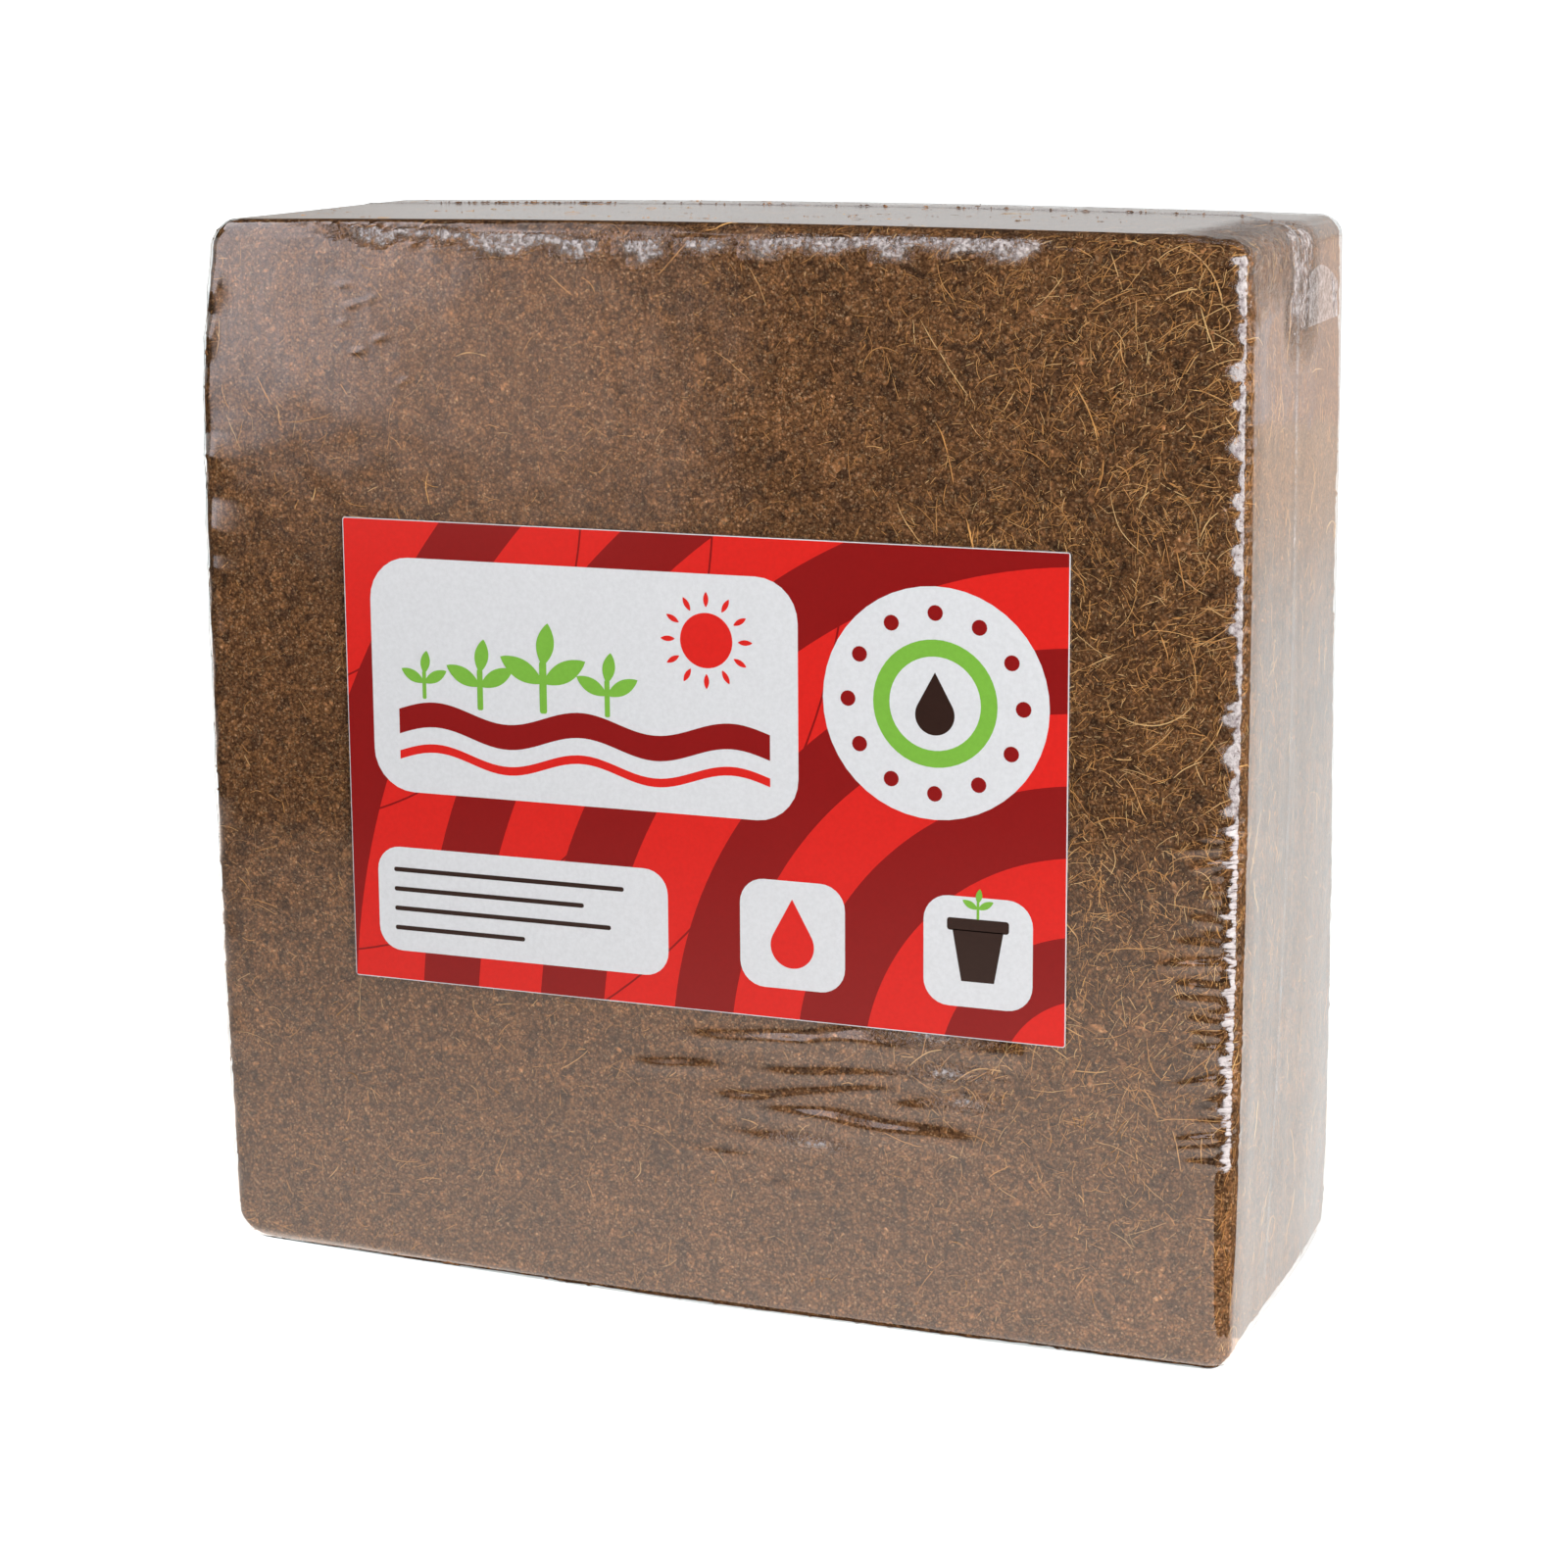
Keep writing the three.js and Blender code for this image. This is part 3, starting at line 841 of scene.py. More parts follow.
def fibre_headings(face, u, v, draws):
    """Directions of fibres: mostly one lie that swirls over the face, and some at random."""
    lie = {"front": 1.05, "right": 1.5}.get(face, 0.7)
    swirl = lumps(np.stack([u, v, np.full(len(u), 7.0)], 1), 11, 12) - 0.5
    spread = 0.3 if face == "right" else 0.35
    heading = lie + 2.8 * swirl * (0.35 if face == "right" else 1.0) + draws.normal(0, spread, len(u))
    loose = draws.random(len(u)) < (0.2 if face == "right" else 0.5 - 0.25 * fibre_mat(face, u, v))
    return np.where(loose, draws.uniform(0, 2 * math.pi, len(u)), heading)


def fibre_ribbons(face, kind, count, width, dents, seed):
    """Points, quads and shades of curved fibres that lie in and on a face."""
    _, lengths, curve, girth, lifts, stations, ridged = FIBRE_KINDS[kind]
    draws = np.random.default_rng(seed)
    u, v = strewn(face, count, bit_crowd if kind == "bit" else fibre_crowd, draws)
    n = len(u)
    length = lengths[0] + (lengths[1] - lengths[0]) * draws.beta(1.1, 2.6, n)
    heading = fibre_headings(face, u, v, draws)
    bend = draws.normal(0, curve, n) * np.where(draws.random(n) < 0.2, 2.4, 1.0)
    t = np.linspace(0, 1, stations)
    wander = np.cumsum(draws.normal(0, (0.2 if kind == "bit" else 0.8) / stations, (n, stations)), 1)
    angle = heading[:, None] + (bend * length)[:, None] * t + wander
    step = (length / (stations - 1))[:, None]
    us = u[:, None] + np.cumsum(np.cos(angle) * step, 1)
    vs = v[:, None] + np.cumsum(np.sin(angle) * step, 1)
    place, normal = place_and_normal(face, us.ravel(), vs.ravel(), 0)
    place = place - normal * press_dents(place, normal, *dents)[:, None]
    shape = (n, stations, 3)
    place, normal = place.reshape(shape), normal.reshape(shape)
    lift = draws.uniform(*lifts, n)[:, None] + 0.1 * draws.normal(0, 1, (n, stations))
    lift = lift - (0.6 if kind == "middle" else 0.35) * (2 * t - 1) ** 4
    place = place + normal * lift[..., None]
    along = np.gradient(place, axis=1)
    side = np.cross(along, normal)
    side /= np.maximum(np.linalg.norm(side, axis=2, keepdims=True), 1e-9)
    thick = width * girth * draws.lognormal(-0.05, 0.3, n)
    taper = 0.3 + 0.7 * np.sqrt(np.clip(1 - (2 * t - 1) ** 2, 0, 1))
    reach = (thick[:, None] * taper / 2)[..., None]
    if ridged:
        rows = [place + (side - 0.4 * normal) * reach, place + normal * reach * 0.8]
        rows.append(place - (side + 0.4 * normal) * reach)
    else:
        roll = draws.normal(0, 0.5, n)[:, None, None]
        tilted = side * np.cos(roll) + normal * np.sin(roll)
        rows = [place + tilted * reach, place - tilted * reach]
    across = len(rows)
    points = np.stack(rows, 2).reshape(-1, 3)
    start = (np.arange(n) * stations * across)[:, None, None]
    station = (np.arange(stations - 1) * across)[None, :, None]
    strip = (start + station + np.arange(across - 1)[None, None, :]).ravel()
    quads = np.stack([strip, strip + across, strip + across + 1, strip + 1], 1)
    golden = fibre_mat(face, u, v) * 0.14
    shade = np.clip(draws.normal(0.46, 0.2, n) + golden + 0.16 * (kind == "long"), 0.02, 1)
    return points, quads, np.repeat(shade, stations * across)


# Each piece of fibres: the kinds in it, and its faces with their counts as shares of the front's
FIBRE_PIECES = {
    "fibres_front": (("long", "middle"), {"front": 1.0}),
    "fibre_bits_front": (("bit",), {"front": 1.0}),
    "fibres_back": (("long", "middle", "bit"), {"back": 0.36}),
    "fibres_right": (("long", "middle", "bit"), {"right": 0.3}),
    "fibres_left": (("long", "middle", "bit"), {"left": 0.16}),
    "fibres_ends": (("long", "middle", "bit"), {"top": 0.17, "bottom": 0.1}),
}


class BALE_OT_fibres(bpy.types.Operator):
    """Lay the curved coir fibres and short bits over the block's six faces"""

    bl_idname = "bale.fibres"
    bl_label = "Fibres"

    def execute(self, context):
        coir = context.scene.bale_coir
        dents = (coir.dent_depth / MM, coir.crumble_depth / MM)
        material = fibre_material(coir)
        seed = 20
        for name, (kinds, faces) in FIBRE_PIECES.items():
            parts = []
            for face, share in faces.items():
                for kind in kinds:
                    seed += 1
                    count = int(coir.fibre_count * share * FIBRE_KINDS[kind][0])
                    parts.append(fibre_ribbons(face, kind, count, coir.fibre_width / MM, dents, seed))
            points, quads, shades = joined(parts)
            piece = add_piece(name, points, quads, [material], "coir")
            add_shares(piece.data, "shade", shades)
        return {"FINISHED"}


FLAKE_SIDES = 7
# How high a flake's middle stands above where it lies, and how deep its rim sinks in
FLAKE_RISE = 0.25
FLAKE_SINK = 0.12


def flake_fans(face, u, v, size, lift, draws):
    """Points and triangles of ragged flakes that lie on a face, with their middles a little raised."""
    n = len(u)
    turn = draws.uniform(0, 2 * math.pi, n)
    stretch = draws.uniform(1.0, 2.6, n)
    around = np.arange(FLAKE_SIDES) * 2 * math.pi / FLAKE_SIDES
    radius = size[:, None] * draws.uniform(0.65, 1.2, (n, FLAKE_SIDES))
    du = radius * np.cos(around) * stretch[:, None]
    dv = radius * np.sin(around)
    us = u[:, None] + du * np.cos(turn)[:, None] - dv * np.sin(turn)[:, None]
    vs = v[:, None] + du * np.sin(turn)[:, None] + dv * np.cos(turn)[:, None]
    us = np.concatenate([u[:, None], us], 1)
    vs = np.concatenate([v[:, None], vs], 1)
    place, normal = place_and_normal(face, us.ravel(), vs.ravel(), 0)
    raised = np.array([FLAKE_RISE, *[-FLAKE_SINK] * FLAKE_SIDES]) + lift[:, None]
    start = (np.arange(n) * (FLAKE_SIDES + 1))[:, None]
    fans = [start + np.array([0, 1 + i, 1 + (i + 1) % FLAKE_SIDES]) for i in range(FLAKE_SIDES)]
    return place + normal * raised.ravel()[:, None], np.concatenate(fans)


# Small flakes along the seal: face, how many, between which places along the seal
SEAL_FLAKES = [("top", 70, -118.0, -60.0), ("top", 40, -60.0, 146.0), ("right", 26, -120.0, 140.0)]


def flakes_on_seal(face, count, low, high, draws):
    """Points and triangles of small flakes on the seal of the top or the right face."""
    along = draws.uniform(low, high, count)
    if face == "top":
        u, v = along, seal_line(along, np.full(count, HALF[2]))
    else:
        u, v = seal_line(np.full(count, HALF[0]), along), along
    scattered = draws.normal(0, 1.1, count)
    u, v = (u, v + scattered) if face == "top" else (u + scattered, v)
    return flake_fans(face, u, v, draws.uniform(0.2, 0.7, count), np.full(count, 0.5), draws)


class BALE_OT_husk_flakes(bpy.types.Operator):
    """Press flat flakes of husk into the block's six faces, and lay small flakes along the film's seal"""

    bl_idname = "bale.husk_flakes"
    bl_label = "Husk Flakes"

    def execute(self, context):
        coir = context.scene.bale_coir
        draws = np.random.default_rng(7)
        areas = {name: HALF[f[2]] * HALF[f[3]] for name, f in FACES.items()}
        parts = []
        for name, area in areas.items():
            n = int(coir.flake_count * area / sum(areas.values()))
            _, _, across, up = FACES[name]
            u = draws.uniform(-HALF[across], HALF[across], n)
            v = draws.uniform(-HALF[up], HALF[up], n)
            size = 0.3 + draws.gamma(2.0, 0.22, n)
            parts.append(flake_fans(name, u, v, size, draws.uniform(-0.18, 0.05, n), draws))
        parts += [flakes_on_seal(*flake_row, draws) for flake_row in SEAL_FLAKES]
        add_piece("husk_flakes", *joined(parts), [flake_material(coir)], "coir")
        return {"FINISHED"}


# The film


def edge_pleats(distance, along, pleats):
    """Height of the pleats over an edge, for distances across it and places along it."""
    height = np.zeros(len(distance))
    for centre, slant, reach, tail, width, tall in pleats:
        near = np.abs(along - centre) < width * 2 + abs(slant) * reach
        d, t = distance[near], along[near]
        off = np.abs(t - centre - slant * np.clip(-d, 0, None)) / width
        ridge = np.clip(1 - off, 0, 1)
        fade = np.where(d < 0, np.clip(1 + d / reach, 0, 1) ** 0.7, np.clip(1 - d / tail, 0, 1))
        height[near] = np.maximum(height[near], tall * ridge * fade)
    return height


def draw_pleats(draws, spacing, low, high, reach, tail, tall):
    """Pleats along an edge: where, how slanted, how far over each face, how wide and how high."""
    count = int((high - low) / spacing)
    centre = np.linspace(low, high, count) + draws.normal(0, spacing * 0.22, count)
    return [
        (
            c,
            draws.normal(-0.1, 0.08),
            reach[0] + (reach[1] - reach[0]) * draws.random() ** 1.6,
            draws.uniform(*tail),
            spacing * draws.uniform(0.42, 0.62),
            tall * draws.uniform(0.45, 1.0),
        )
        for c in centre
    ]


# Puffs of bunched film on the upper right edge, whose milky white is partly painted glints: height above
# the foot, half length, reach
EDGE_PUFFS = [
    (294.5, 1.6, 4.6), (291.5, 2.0, 2.6), (288.0, 2.8, 3.8), (283.1, 3.0, 2.5), (276.1, 2.8, 2.9),
    (266.0, 2.8, 4.8), (261.4, 1.8, 2.3), (257.8, 2.0, 4.0), (253.2, 2.8, 2.4), (246.9, 3.5, 4.4),
    (239.5, 3.0, 2.0), (233.0, 2.4, 4.2), (227.5, 2.2, 2.6), (219.9, 2.4, 4.0), (216.0, 2.2, 3.1),
    (210.0, 2.0, 2.3), (206.6, 1.5, 2.4), (203.7, 1.5, 3.3), (200.5, 2.1, 4.4), (196.7, 2.0, 2.0),
    (192.3, 2.2, 2.3), (188.4, 1.9, 2.5), (180.5, 1.3, 4.4), (177.3, 2.1, 5.6), (173.2, 2.0, 2.6),
    (167.4, 4.0, 4.9), (159.0, 3.4, 3.6), (153.0, 2.6, 5.0),
]

# Crumpled patches hanging from the top edge, whose milky white is partly a painted reflection: x, half
# length, reach below the edge
TOP_PATCHES = [
    (-103, 5, 2.6), (-92, 7, 5.0), (-80, 5, 3.0), (-70, 4, 3.8), (-54, 12, 7.5), (-32, 9, 8.0),
    (-13, 6, 9.5), (4, 8, 6.0), (21, 7, 7.4), (38, 9, 5.4), (56, 7, 7.0), (72, 6, 5.0),
    (87, 8, 6.4),
]


def scallops(draws, low, high, spacing, width):
    """Puffs of bunched film along an edge: where, half as long as they are, and how far they reach."""
    centre, puffs = low, []
    while centre < high:
        puffs.append((centre, draws.uniform(0.32, 0.6) * spacing, draws.uniform(*width)))
        centre += spacing * draws.uniform(0.6, 1.4)
    return puffs


def puff_reach(along, puffs, least):
    """How far the bunched film reaches from the edge, at each place along it."""
    reach = np.full(len(along), least)
    for centre, half_length, width in puffs:
        t = np.clip(1 - np.abs((along - centre) / half_length) ** 1.7, 0, 1)
        reach = np.maximum(reach, least + (width - least) * np.sqrt(t))
    return reach


# Folds in slack film, long under the label and short near the top left: x, height, length, rise, width
SLACK_FOLDS = [
    (-102.6, 281.9, 3.5, 0.1, 0.55), (-99.5, 276.5, 4.5, 0.1, 0.6), (-103.0, 271.3, 3, 0.15, 0.5),
    (-94.7, 278.1, 3, 0.1, 0.5), (-91.1, 267.6, 4.5, 0.1, 0.6), (-98.0, 263.9, 4, 0.05, 0.6),
    (-84.0, 256.0, 3.5, 0.1, 0.6), (-79.5, 293.5, 4, -0.4, 0.8), (-74.0, 291.0, 5, -0.4, 0.8),
    (16, 79.6, 42, 0.03, 1.9), (38, 81.7, 40, 0.12, 2.3), (33, 77.4, 28, 0.05, 1.5),
    (58, 81.6, 38, 0.06, 3.4), (84, 83.2, 20, -0.06, 3.4), (39, 72.2, 50, 0.06, 1.6),
    (66, 73.8, 18, -0.19, 2.4), (42, 67.6, 40, 0.12, 1.7), (20, 63.6, 30, 0.05, 1.5),
    (28, 60.2, 50, -0.06, 2.3), (56, 57.6, 60, -0.03, 2.9), (66, 65.8, 28, 0.01, 1.9),
    (-6, 70.0, 30, 0.02, 1.6), (26, 52.0, 44, -0.05, 1.7), (24, 39.0, 12, -0.22, 1.3),
    (8, 46.0, 30, -0.1, 1.3), (17, 20.8, 16, -0.05, 1.2), (16, 17.4, 16, -0.08, 1.2),
    (22, 10.3, 24, -0.25, 1.4),
]
# How high a slack fold is for its width
SLACK_STEEPNESS = 0.32
# Painted glare, as faint milky smears beside the folds: x, height above the foot, half length, half height
PAINTED_GLARE_SMEARS = [(67, 86.1, 11, 2.6), (72, 76.5, 11, 2.6), (77, 68.7, 8, 2.4), (34, 52.4, 9, 2.2)]


def slack_folds(x, z):
    height = np.zeros(len(x))
    for centre, level, length, rise, width in SLACK_FOLDS:
        s = (x - centre) / (length / 2)
        off = (z - (level - BLOCK_MIDDLE[2]) - rise * (x - centre) - 0.5 * np.sin(s * 4)) / width
        height += SLACK_STEEPNESS * width * np.exp(-off * off) * np.clip(1 - s * s, 0, 1)
    return height


def painted_glare_smears(x, z):
    share = np.zeros(len(x))
    for centre, level, half_length, half_height in PAINTED_GLARE_SMEARS:
        off = ((x - centre) / half_length) ** 2 + ((z - (level - BLOCK_MIDDLE[2])) / half_height) ** 2
        share = np.maximum(share, np.exp(-off))
    return share


# The heights, from the middle, between which the film is bunched on the right front edge
LOW_PLEATS = (58.0 - BLOCK_MIDDLE[2], 150.0 - BLOCK_MIDDLE[2])
HIGH_PLEATS = (150.0 - BLOCK_MIDDLE[2], 296.0 - BLOCK_MIDDLE[2])
# Pleats over the front's edges: edge, spacing, from, to, reach over the front, tail, share of full height
FILM_PLEATS = [
    ("right", 3.1, *LOW_PLEATS, (7, 23), (3, 8), 1.0),
    ("right", 4.2, *HIGH_PLEATS, (1.5, 9), (3, 9), 0.6),
    ("top", 3.0, -140, 120, (1.5, 6), (1, 4), 0.5),
    ("left", 15.0, -135, 130, (3, 11), (2, 5), 0.9),
]

# How far the slack film stands off the right side, and how soon behind the front edge
SIDE_BULGE = 0.9
SIDE_BULGE_REACH = 16.0
# How high the fine upright ripples in the film of the right side are
SIDE_RIPPLES = 0.12
# How deeply the film is creased round the top right front corner, and how much of that is on the front
CORNER_CREASES = 0.9
CORNER_ON_FRONT = 0.2
CREASED_CORNER = {"x": (116, 134), "y": (-16, -34), "z": (118, 138)}
# The strip over the top right edge where the film's reflections are broken up, and how crumpled it is
BROKEN_STRIP = {"x": (126, 141), "y": (30, 0), "z": (126, 141)}
BROKEN_STRIP_CRUMPLE = 0.34
# How crumpled the smears of painted glare, the patches on the top edge and the film round the seal's upper
# end are
PAINTED_GLARE_CRUMPLE = 0.55
PATCH_CRUMPLE = 0.59
SEAL_CRUMPLE = 0.7


def from_front_edges(sharp, half):
    """Distances from the front, and round its right, top and left edges, which are negative on the front.

    Everything behind the middle counts as far away.
    """
    x, y, z = sharp.T
    to_front = np.where(y < 0, y + half[1], 4 * half[0])
    round_edges = {
        "right": x - half[0] + to_front,
        "top": z - half[2] + to_front,
        "left": -x - half[0] + to_front,
    }
    return to_front, round_edges


def film_lean(film, sharp, half, draws):
    """How far the film stands off its smooth form, with pleats, folds, a slack side and creases."""
    x, y, z = sharp.T
    to_front, round_edges = from_front_edges(sharp, half)
    on_front = np.abs(to_front) < 1e-6
    heights = dict.fromkeys(round_edges, 0)
    for edge, spacing, low, high, reach, tail, share in FILM_PLEATS:
        pleats = draw_pleats(draws, spacing, low, high, reach, tail, film.pleat_height / MM * share)
        height = edge_pleats(round_edges[edge], x if edge == "top" else z, pleats)
        heights[edge] = np.maximum(heights[edge], height)
    lean = sum(heights.values()) + np.where(on_front, slack_folds(x, z), 0)
    right = round_edges["right"]
    bulge = 1 - (1 - np.clip(right / SIDE_BULGE_REACH, 0, 1)) ** 2
    lean += SIDE_BULGE * bulge * smoothstep(half[1] + 20, 10, y) * (x > half[0] - 1e-6)
    side_on = smoothstep(3, 12, right) * smoothstep(SEAL_Y, SEAL_Y - 6, y)
    lean += side_on * SIDE_RIPPLES * lumps(np.stack([y, x, z * 0.05], 1), 3.5, 33)
    corner = CORNER_CREASES * zone(sharp, **CREASED_CORNER) * np.where(on_front, CORNER_ON_FRONT, 1.0)
    return lean + corner * lumps(sharp * (1.0, 0.6, 1.0), 3.0, 36) ** 1.5


def ragged_edge(sharp):
    """Small ins and outs for the outline of bunched film."""
    return 1.1 * (lumps(sharp, 1.5, 31) - 0.5)


def film_gather(sharp, half, draws):
    """Where the film is gathered in lines, low on the right front edge, where its milky white is partly
    painted glints.
    """
    right = from_front_edges(sharp, half)[1]["right"]
    z = sharp[:, 2]
    reach = puff_reach(z, scallops(draws, *LOW_PLEATS, 3.2, (2.2, 5.2)), 1.6)
    reach *= smoothstep(LOW_PLEATS[0] - 1, LOW_PLEATS[0] + 1, z)
    reach *= smoothstep(LOW_PLEATS[1] + 3, LOW_PLEATS[1] - 1, z)
    inside = np.minimum(right + reach + ragged_edge(sharp), 0.5 - right) / 1.2
    return np.clip(0.5 + inside, 0, 1) * (reach > 0)


def film_crumple(sharp, half):
    """Where the film is crumpled: high on the right front edge, on the top edge, round the seal, and in the
    smears of painted glare.
    """
    x, y, z = sharp.T
    to_front, round_edges = from_front_edges(sharp, half)
    right, top = round_edges["right"], round_edges["top"]
    on_front = np.abs(to_front) < 1e-6
    ragged = ragged_edge(sharp)

    puffs = [(level - BLOCK_MIDDLE[2], half_length, reach) for level, half_length, reach in EDGE_PUFFS]
    reach = puff_reach(z, puffs, 0.9) * (z < half[2] - 3)
    reach *= smoothstep(HIGH_PLEATS[0], HIGH_PLEATS[0] + 3, z)
    inside = np.minimum(right + reach + ragged, 0.5 - right) / 1.4
    crumple = np.clip(0.6 + inside, 0, 1) * (reach > 0.2)
    crumple = np.maximum(crumple, PAINTED_GLARE_CRUMPLE * painted_glare_smears(x, z) * on_front)

    # The patches hang below a strip of clear film, which a slanted comb of folds cuts into
    hanging = puff_reach(x, TOP_PATCHES, 1.6)
    comb = 1 - 2 * np.abs((x + 0.7 * z) / 2.3 % 1 - 0.5)
    bare = 0.8 + 2.0 * smoothstep(-95, -40, x) * smoothstep(60, 10, x) + 3.6 * comb * lumps(sharp, 5.0, 35)
    bare -= smoothstep(-88, -108, x) * (bare - 0.1)
    patch = np.clip(0.5 + np.minimum(top + hanging + 2.2 + ragged, -bare - top) / 1.5, 0, 1)
    patch *= smoothstep(-118, -90, x) * smoothstep(100, 94, x)
    # The patches' milky white is partly a painted reflection
    crumple = np.maximum(crumple, PATCH_CRUMPLE * patch)

    strip = zone(sharp, **BROKEN_STRIP) * ~on_front
    crumple = np.maximum(crumple, BROKEN_STRIP_CRUMPLE * strip)
    at_seal = smoothstep(26, 8, np.abs(y + 2)) * zone(sharp, x=(half[0] - 2, half[0]), z=(108, 128))
    return np.maximum(crumple, SEAL_CRUMPLE * at_seal * (0.25 + lumps(sharp, 3.0, 34)))


def film_shell(film, faces, lines, draws):
    """One half of the film with its creases, and where it is gathered in lines or crumpled."""
    sharp, quads = box_grid(lines, faces)
    offset = film.stand_off / MM
    half = HALF + offset
    points = on_bale(sharp, offset)
    normals = vertex_normals(points, quads)
    lean = film_lean(film, sharp, half, draws)
    sunk = 0.45 * edge_slant(normals) * lumps(points, 11, 4)
    shifted = points + normals * (lean - sunk)[:, None]
    shifted[:, 2] = np.maximum(shifted[:, 2], -BLOCK_MIDDLE[2])
    return shifted, quads, film_gather(sharp, half, draws), film_crumple(sharp, half)


def seal_line(x, z):
    """How far behind the middle the seal runs: leaning forward low down, and to the back over the top."""
    lean = SEAL_LEAN * np.clip((10 - z) / 129, 0, 1.2)
    return SEAL_Y - 0.8 - lean + SEAL_DRIFT * smoothstep(HALF[0], HALF[0] - 26, x)


# The seal's bead across its run (place, share of its height), and how far it stands off the film
BEAD_PROFILE = [(-1.5, -0.1), (-0.6, 0.6), (0.1, 1.0), (0.7, 0.5), (1.9, -0.1)]
BEAD_STAND_OFF = 0.05
BEAD_STEP = 1.5


def seal_bead(film):
    """The trim seal: a thin wavy bead up both sides and over the top."""
    offset = film.stand_off / MM + BEAD_STAND_OFF
    half = HALF + offset
    rise = spaced((SEAL_FOOT, BEAD_STEP), (half[2], BEAD_STEP))
    over = spaced((-half[0], BEAD_STEP), (half[0], BEAD_STEP))
    route = np.concatenate(
        [
            np.stack([np.full(len(rise), -half[0]), rise], 1),
            np.stack([over, np.full(len(over), half[2])], 1)[1:-1],
            np.stack([np.full(len(rise), half[0]), rise], 1)[::-1],
        ]
    )
    n = len(route)
    sharp = np.stack([route[:, 0], np.zeros(n), route[:, 1]], 1)
    wave = 0.9 * (lumps(sharp, 14, 41) - 0.5) + 0.5 * (lumps(sharp, 3.5, 42) - 0.5)
    sharp[:, 1] += wave + seal_line(sharp[:, 0], sharp[:, 2])
    centre = on_bale(sharp, offset)
    along = np.gradient(centre, axis=0)
    out = np.cross(np.tile((0.0, 1.0, 0.0), (n, 1)), along)
    out /= np.linalg.norm(out, axis=1, keepdims=True)
    out *= np.sign((out * centre).sum(1))[:, None]
    tall = 0.1 + 0.16 * lumps(sharp, 2.6, 43)
    rows = [centre + out * (tall * h)[:, None] + np.array((0, w, 0)) for w, h in BEAD_PROFILE]
    points = np.stack(rows, 1).reshape(-1, 3)
    k = len(rows)
    quads = grid_quads(np.arange(n * k).reshape(n, k))
    high_up = smoothstep(40, 120, points[:, 2])
    crumple = 0.28 + (0.3 + 0.3 * high_up) * lumps(points, 5, 44)
    return points, quads, np.zeros(len(points)), crumple


# The tucked end's lower front corner (y, height above the foot), its size, and how far it stands off
TUCK_CORNER = (10.0, 271.5)
TUCK_SIZE = (38.0, 16.0)
TUCK_STAND_OFF = 0.45


def tucked_patch(film):
    """The folded end of the film, flat on the right face near its top."""
    offset = film.stand_off / MM + TUCK_STAND_OFF
    across = np.linspace(0, 1, 54)
    up = np.linspace(0, 1, 16)
    s, t = np.meshgrid(across, up, indexing="ij")
    arch = 0.55 + 0.45 * np.sin((0.25 + 0.7 * s) * math.pi)
    y = TUCK_CORNER[0] + s * TUCK_SIZE[0]
    z = TUCK_CORNER[1] + t * TUCK_SIZE[1] * arch - BLOCK_MIDDLE[2]
    n = y.size
    sharp = np.stack([np.full(n, HALF[0] + offset), y.ravel(), z.ravel()], 1)
    points = on_bale(sharp, offset)
    points[:, 0] += 0.35 * (lumps(sharp, 3.0, 51) - 0.5)
    quads = grid_quads(np.arange(n).reshape(s.shape))
    rim = np.maximum(np.abs(2 * t - 1), np.abs(2 * s - 1)).ravel()
    crumple = 0.68 + 0.2 * smoothstep(0.85, 1.0, rim)
    return points, quads, np.zeros(n), crumple


class BALE_OT_film(bpy.types.Operator):
    """Wrap the block in creased shrink film with its pleats, seal and tucked end"""

    bl_idname = "bale.film"
    bl_label = "Shrink Film"

    def execute(self, context):
        film = context.scene.bale_film
        draws = np.random.default_rng(3)
        offset = film.stand_off / MM
        hx, hy, hz = HALF + offset
        # The grid is finest where there are pleats, and fine over the small dents near the top left
        fine = 0.75
        left_x = [(-hx, 1.2), (-hx + 8, 4.5), (-116, 1.5), (-76, 4.5)]
        x_lines = spaced(*left_x, (hx - 60, 2.5), (hx - 18, fine), (hx, fine))
        z_lines = spaced((-hz, 1.1), (LOW_PLEATS[0], fine), (hz, fine))
        front_y = spaced((-hy, fine), (-hy + 9, 3.0), (SEAL_Y, 3.0))
        back_y = spaced((SEAL_Y, 4.0), (hy - 6, 1.2), (hy, 1.2))
        coarse_x = spaced((-hx, 1.2), (-hx + 12, 5.0), (hx - 12, 1.2), (hx, 1.2))
        coarse_z = spaced((-hz, 1.2), (-hz + 12, 5.0), (hz - 12, 1.2), (hz, 1.2))
        sides = ("left", "right", "top", "bottom")
        parts = [
            film_shell(film, ("front", *sides), [x_lines, front_y, z_lines], draws),
            film_shell(film, ("back", *sides), [coarse_x, back_y, coarse_z], draws),
            seal_bead(film),
            tucked_patch(film),
        ]
        points, quads, gather, crumple = joined(parts)
        piece = add_piece("film", points, quads, [film_material(film)], "film", replaces="shrink_film")
        add_shares(piece.data, "gather", gather)
        add_shares(piece.data, "crumple", crumple)
        return {"FINISHED"}


# The label


def arc(x, z, radius, start, end, steps=10):
    """Points of an arc, angles in degrees."""
    angles = np.radians(np.linspace(start, end, steps))
    return [(x + radius * math.cos(a), z + radius * math.sin(a)) for a in angles]


def rounded_box(x, z, width, height, radius):
    """A box with round corners about its middle."""
    w, h = width / 2 - radius, height / 2 - radius
    corners = [(w, h, 0), (-w, h, 90), (-w, -h, 180), (w, -h, 270)]
    return [p for cx, cz, a in corners for p in arc(x + cx, z + cz, radius, a, a + 90, 8)]


def disc(x, z, radius, steps=48):
    return arc(x, z, radius, 0, 360 * (1 - 1 / steps), steps)


def band_part(x, z, inner, outer, start, end, steps=60):
    """A curved band between two arcs."""
    return arc(x, z, outer, start, end, steps) + arc(x, z, inner, end, start, steps)


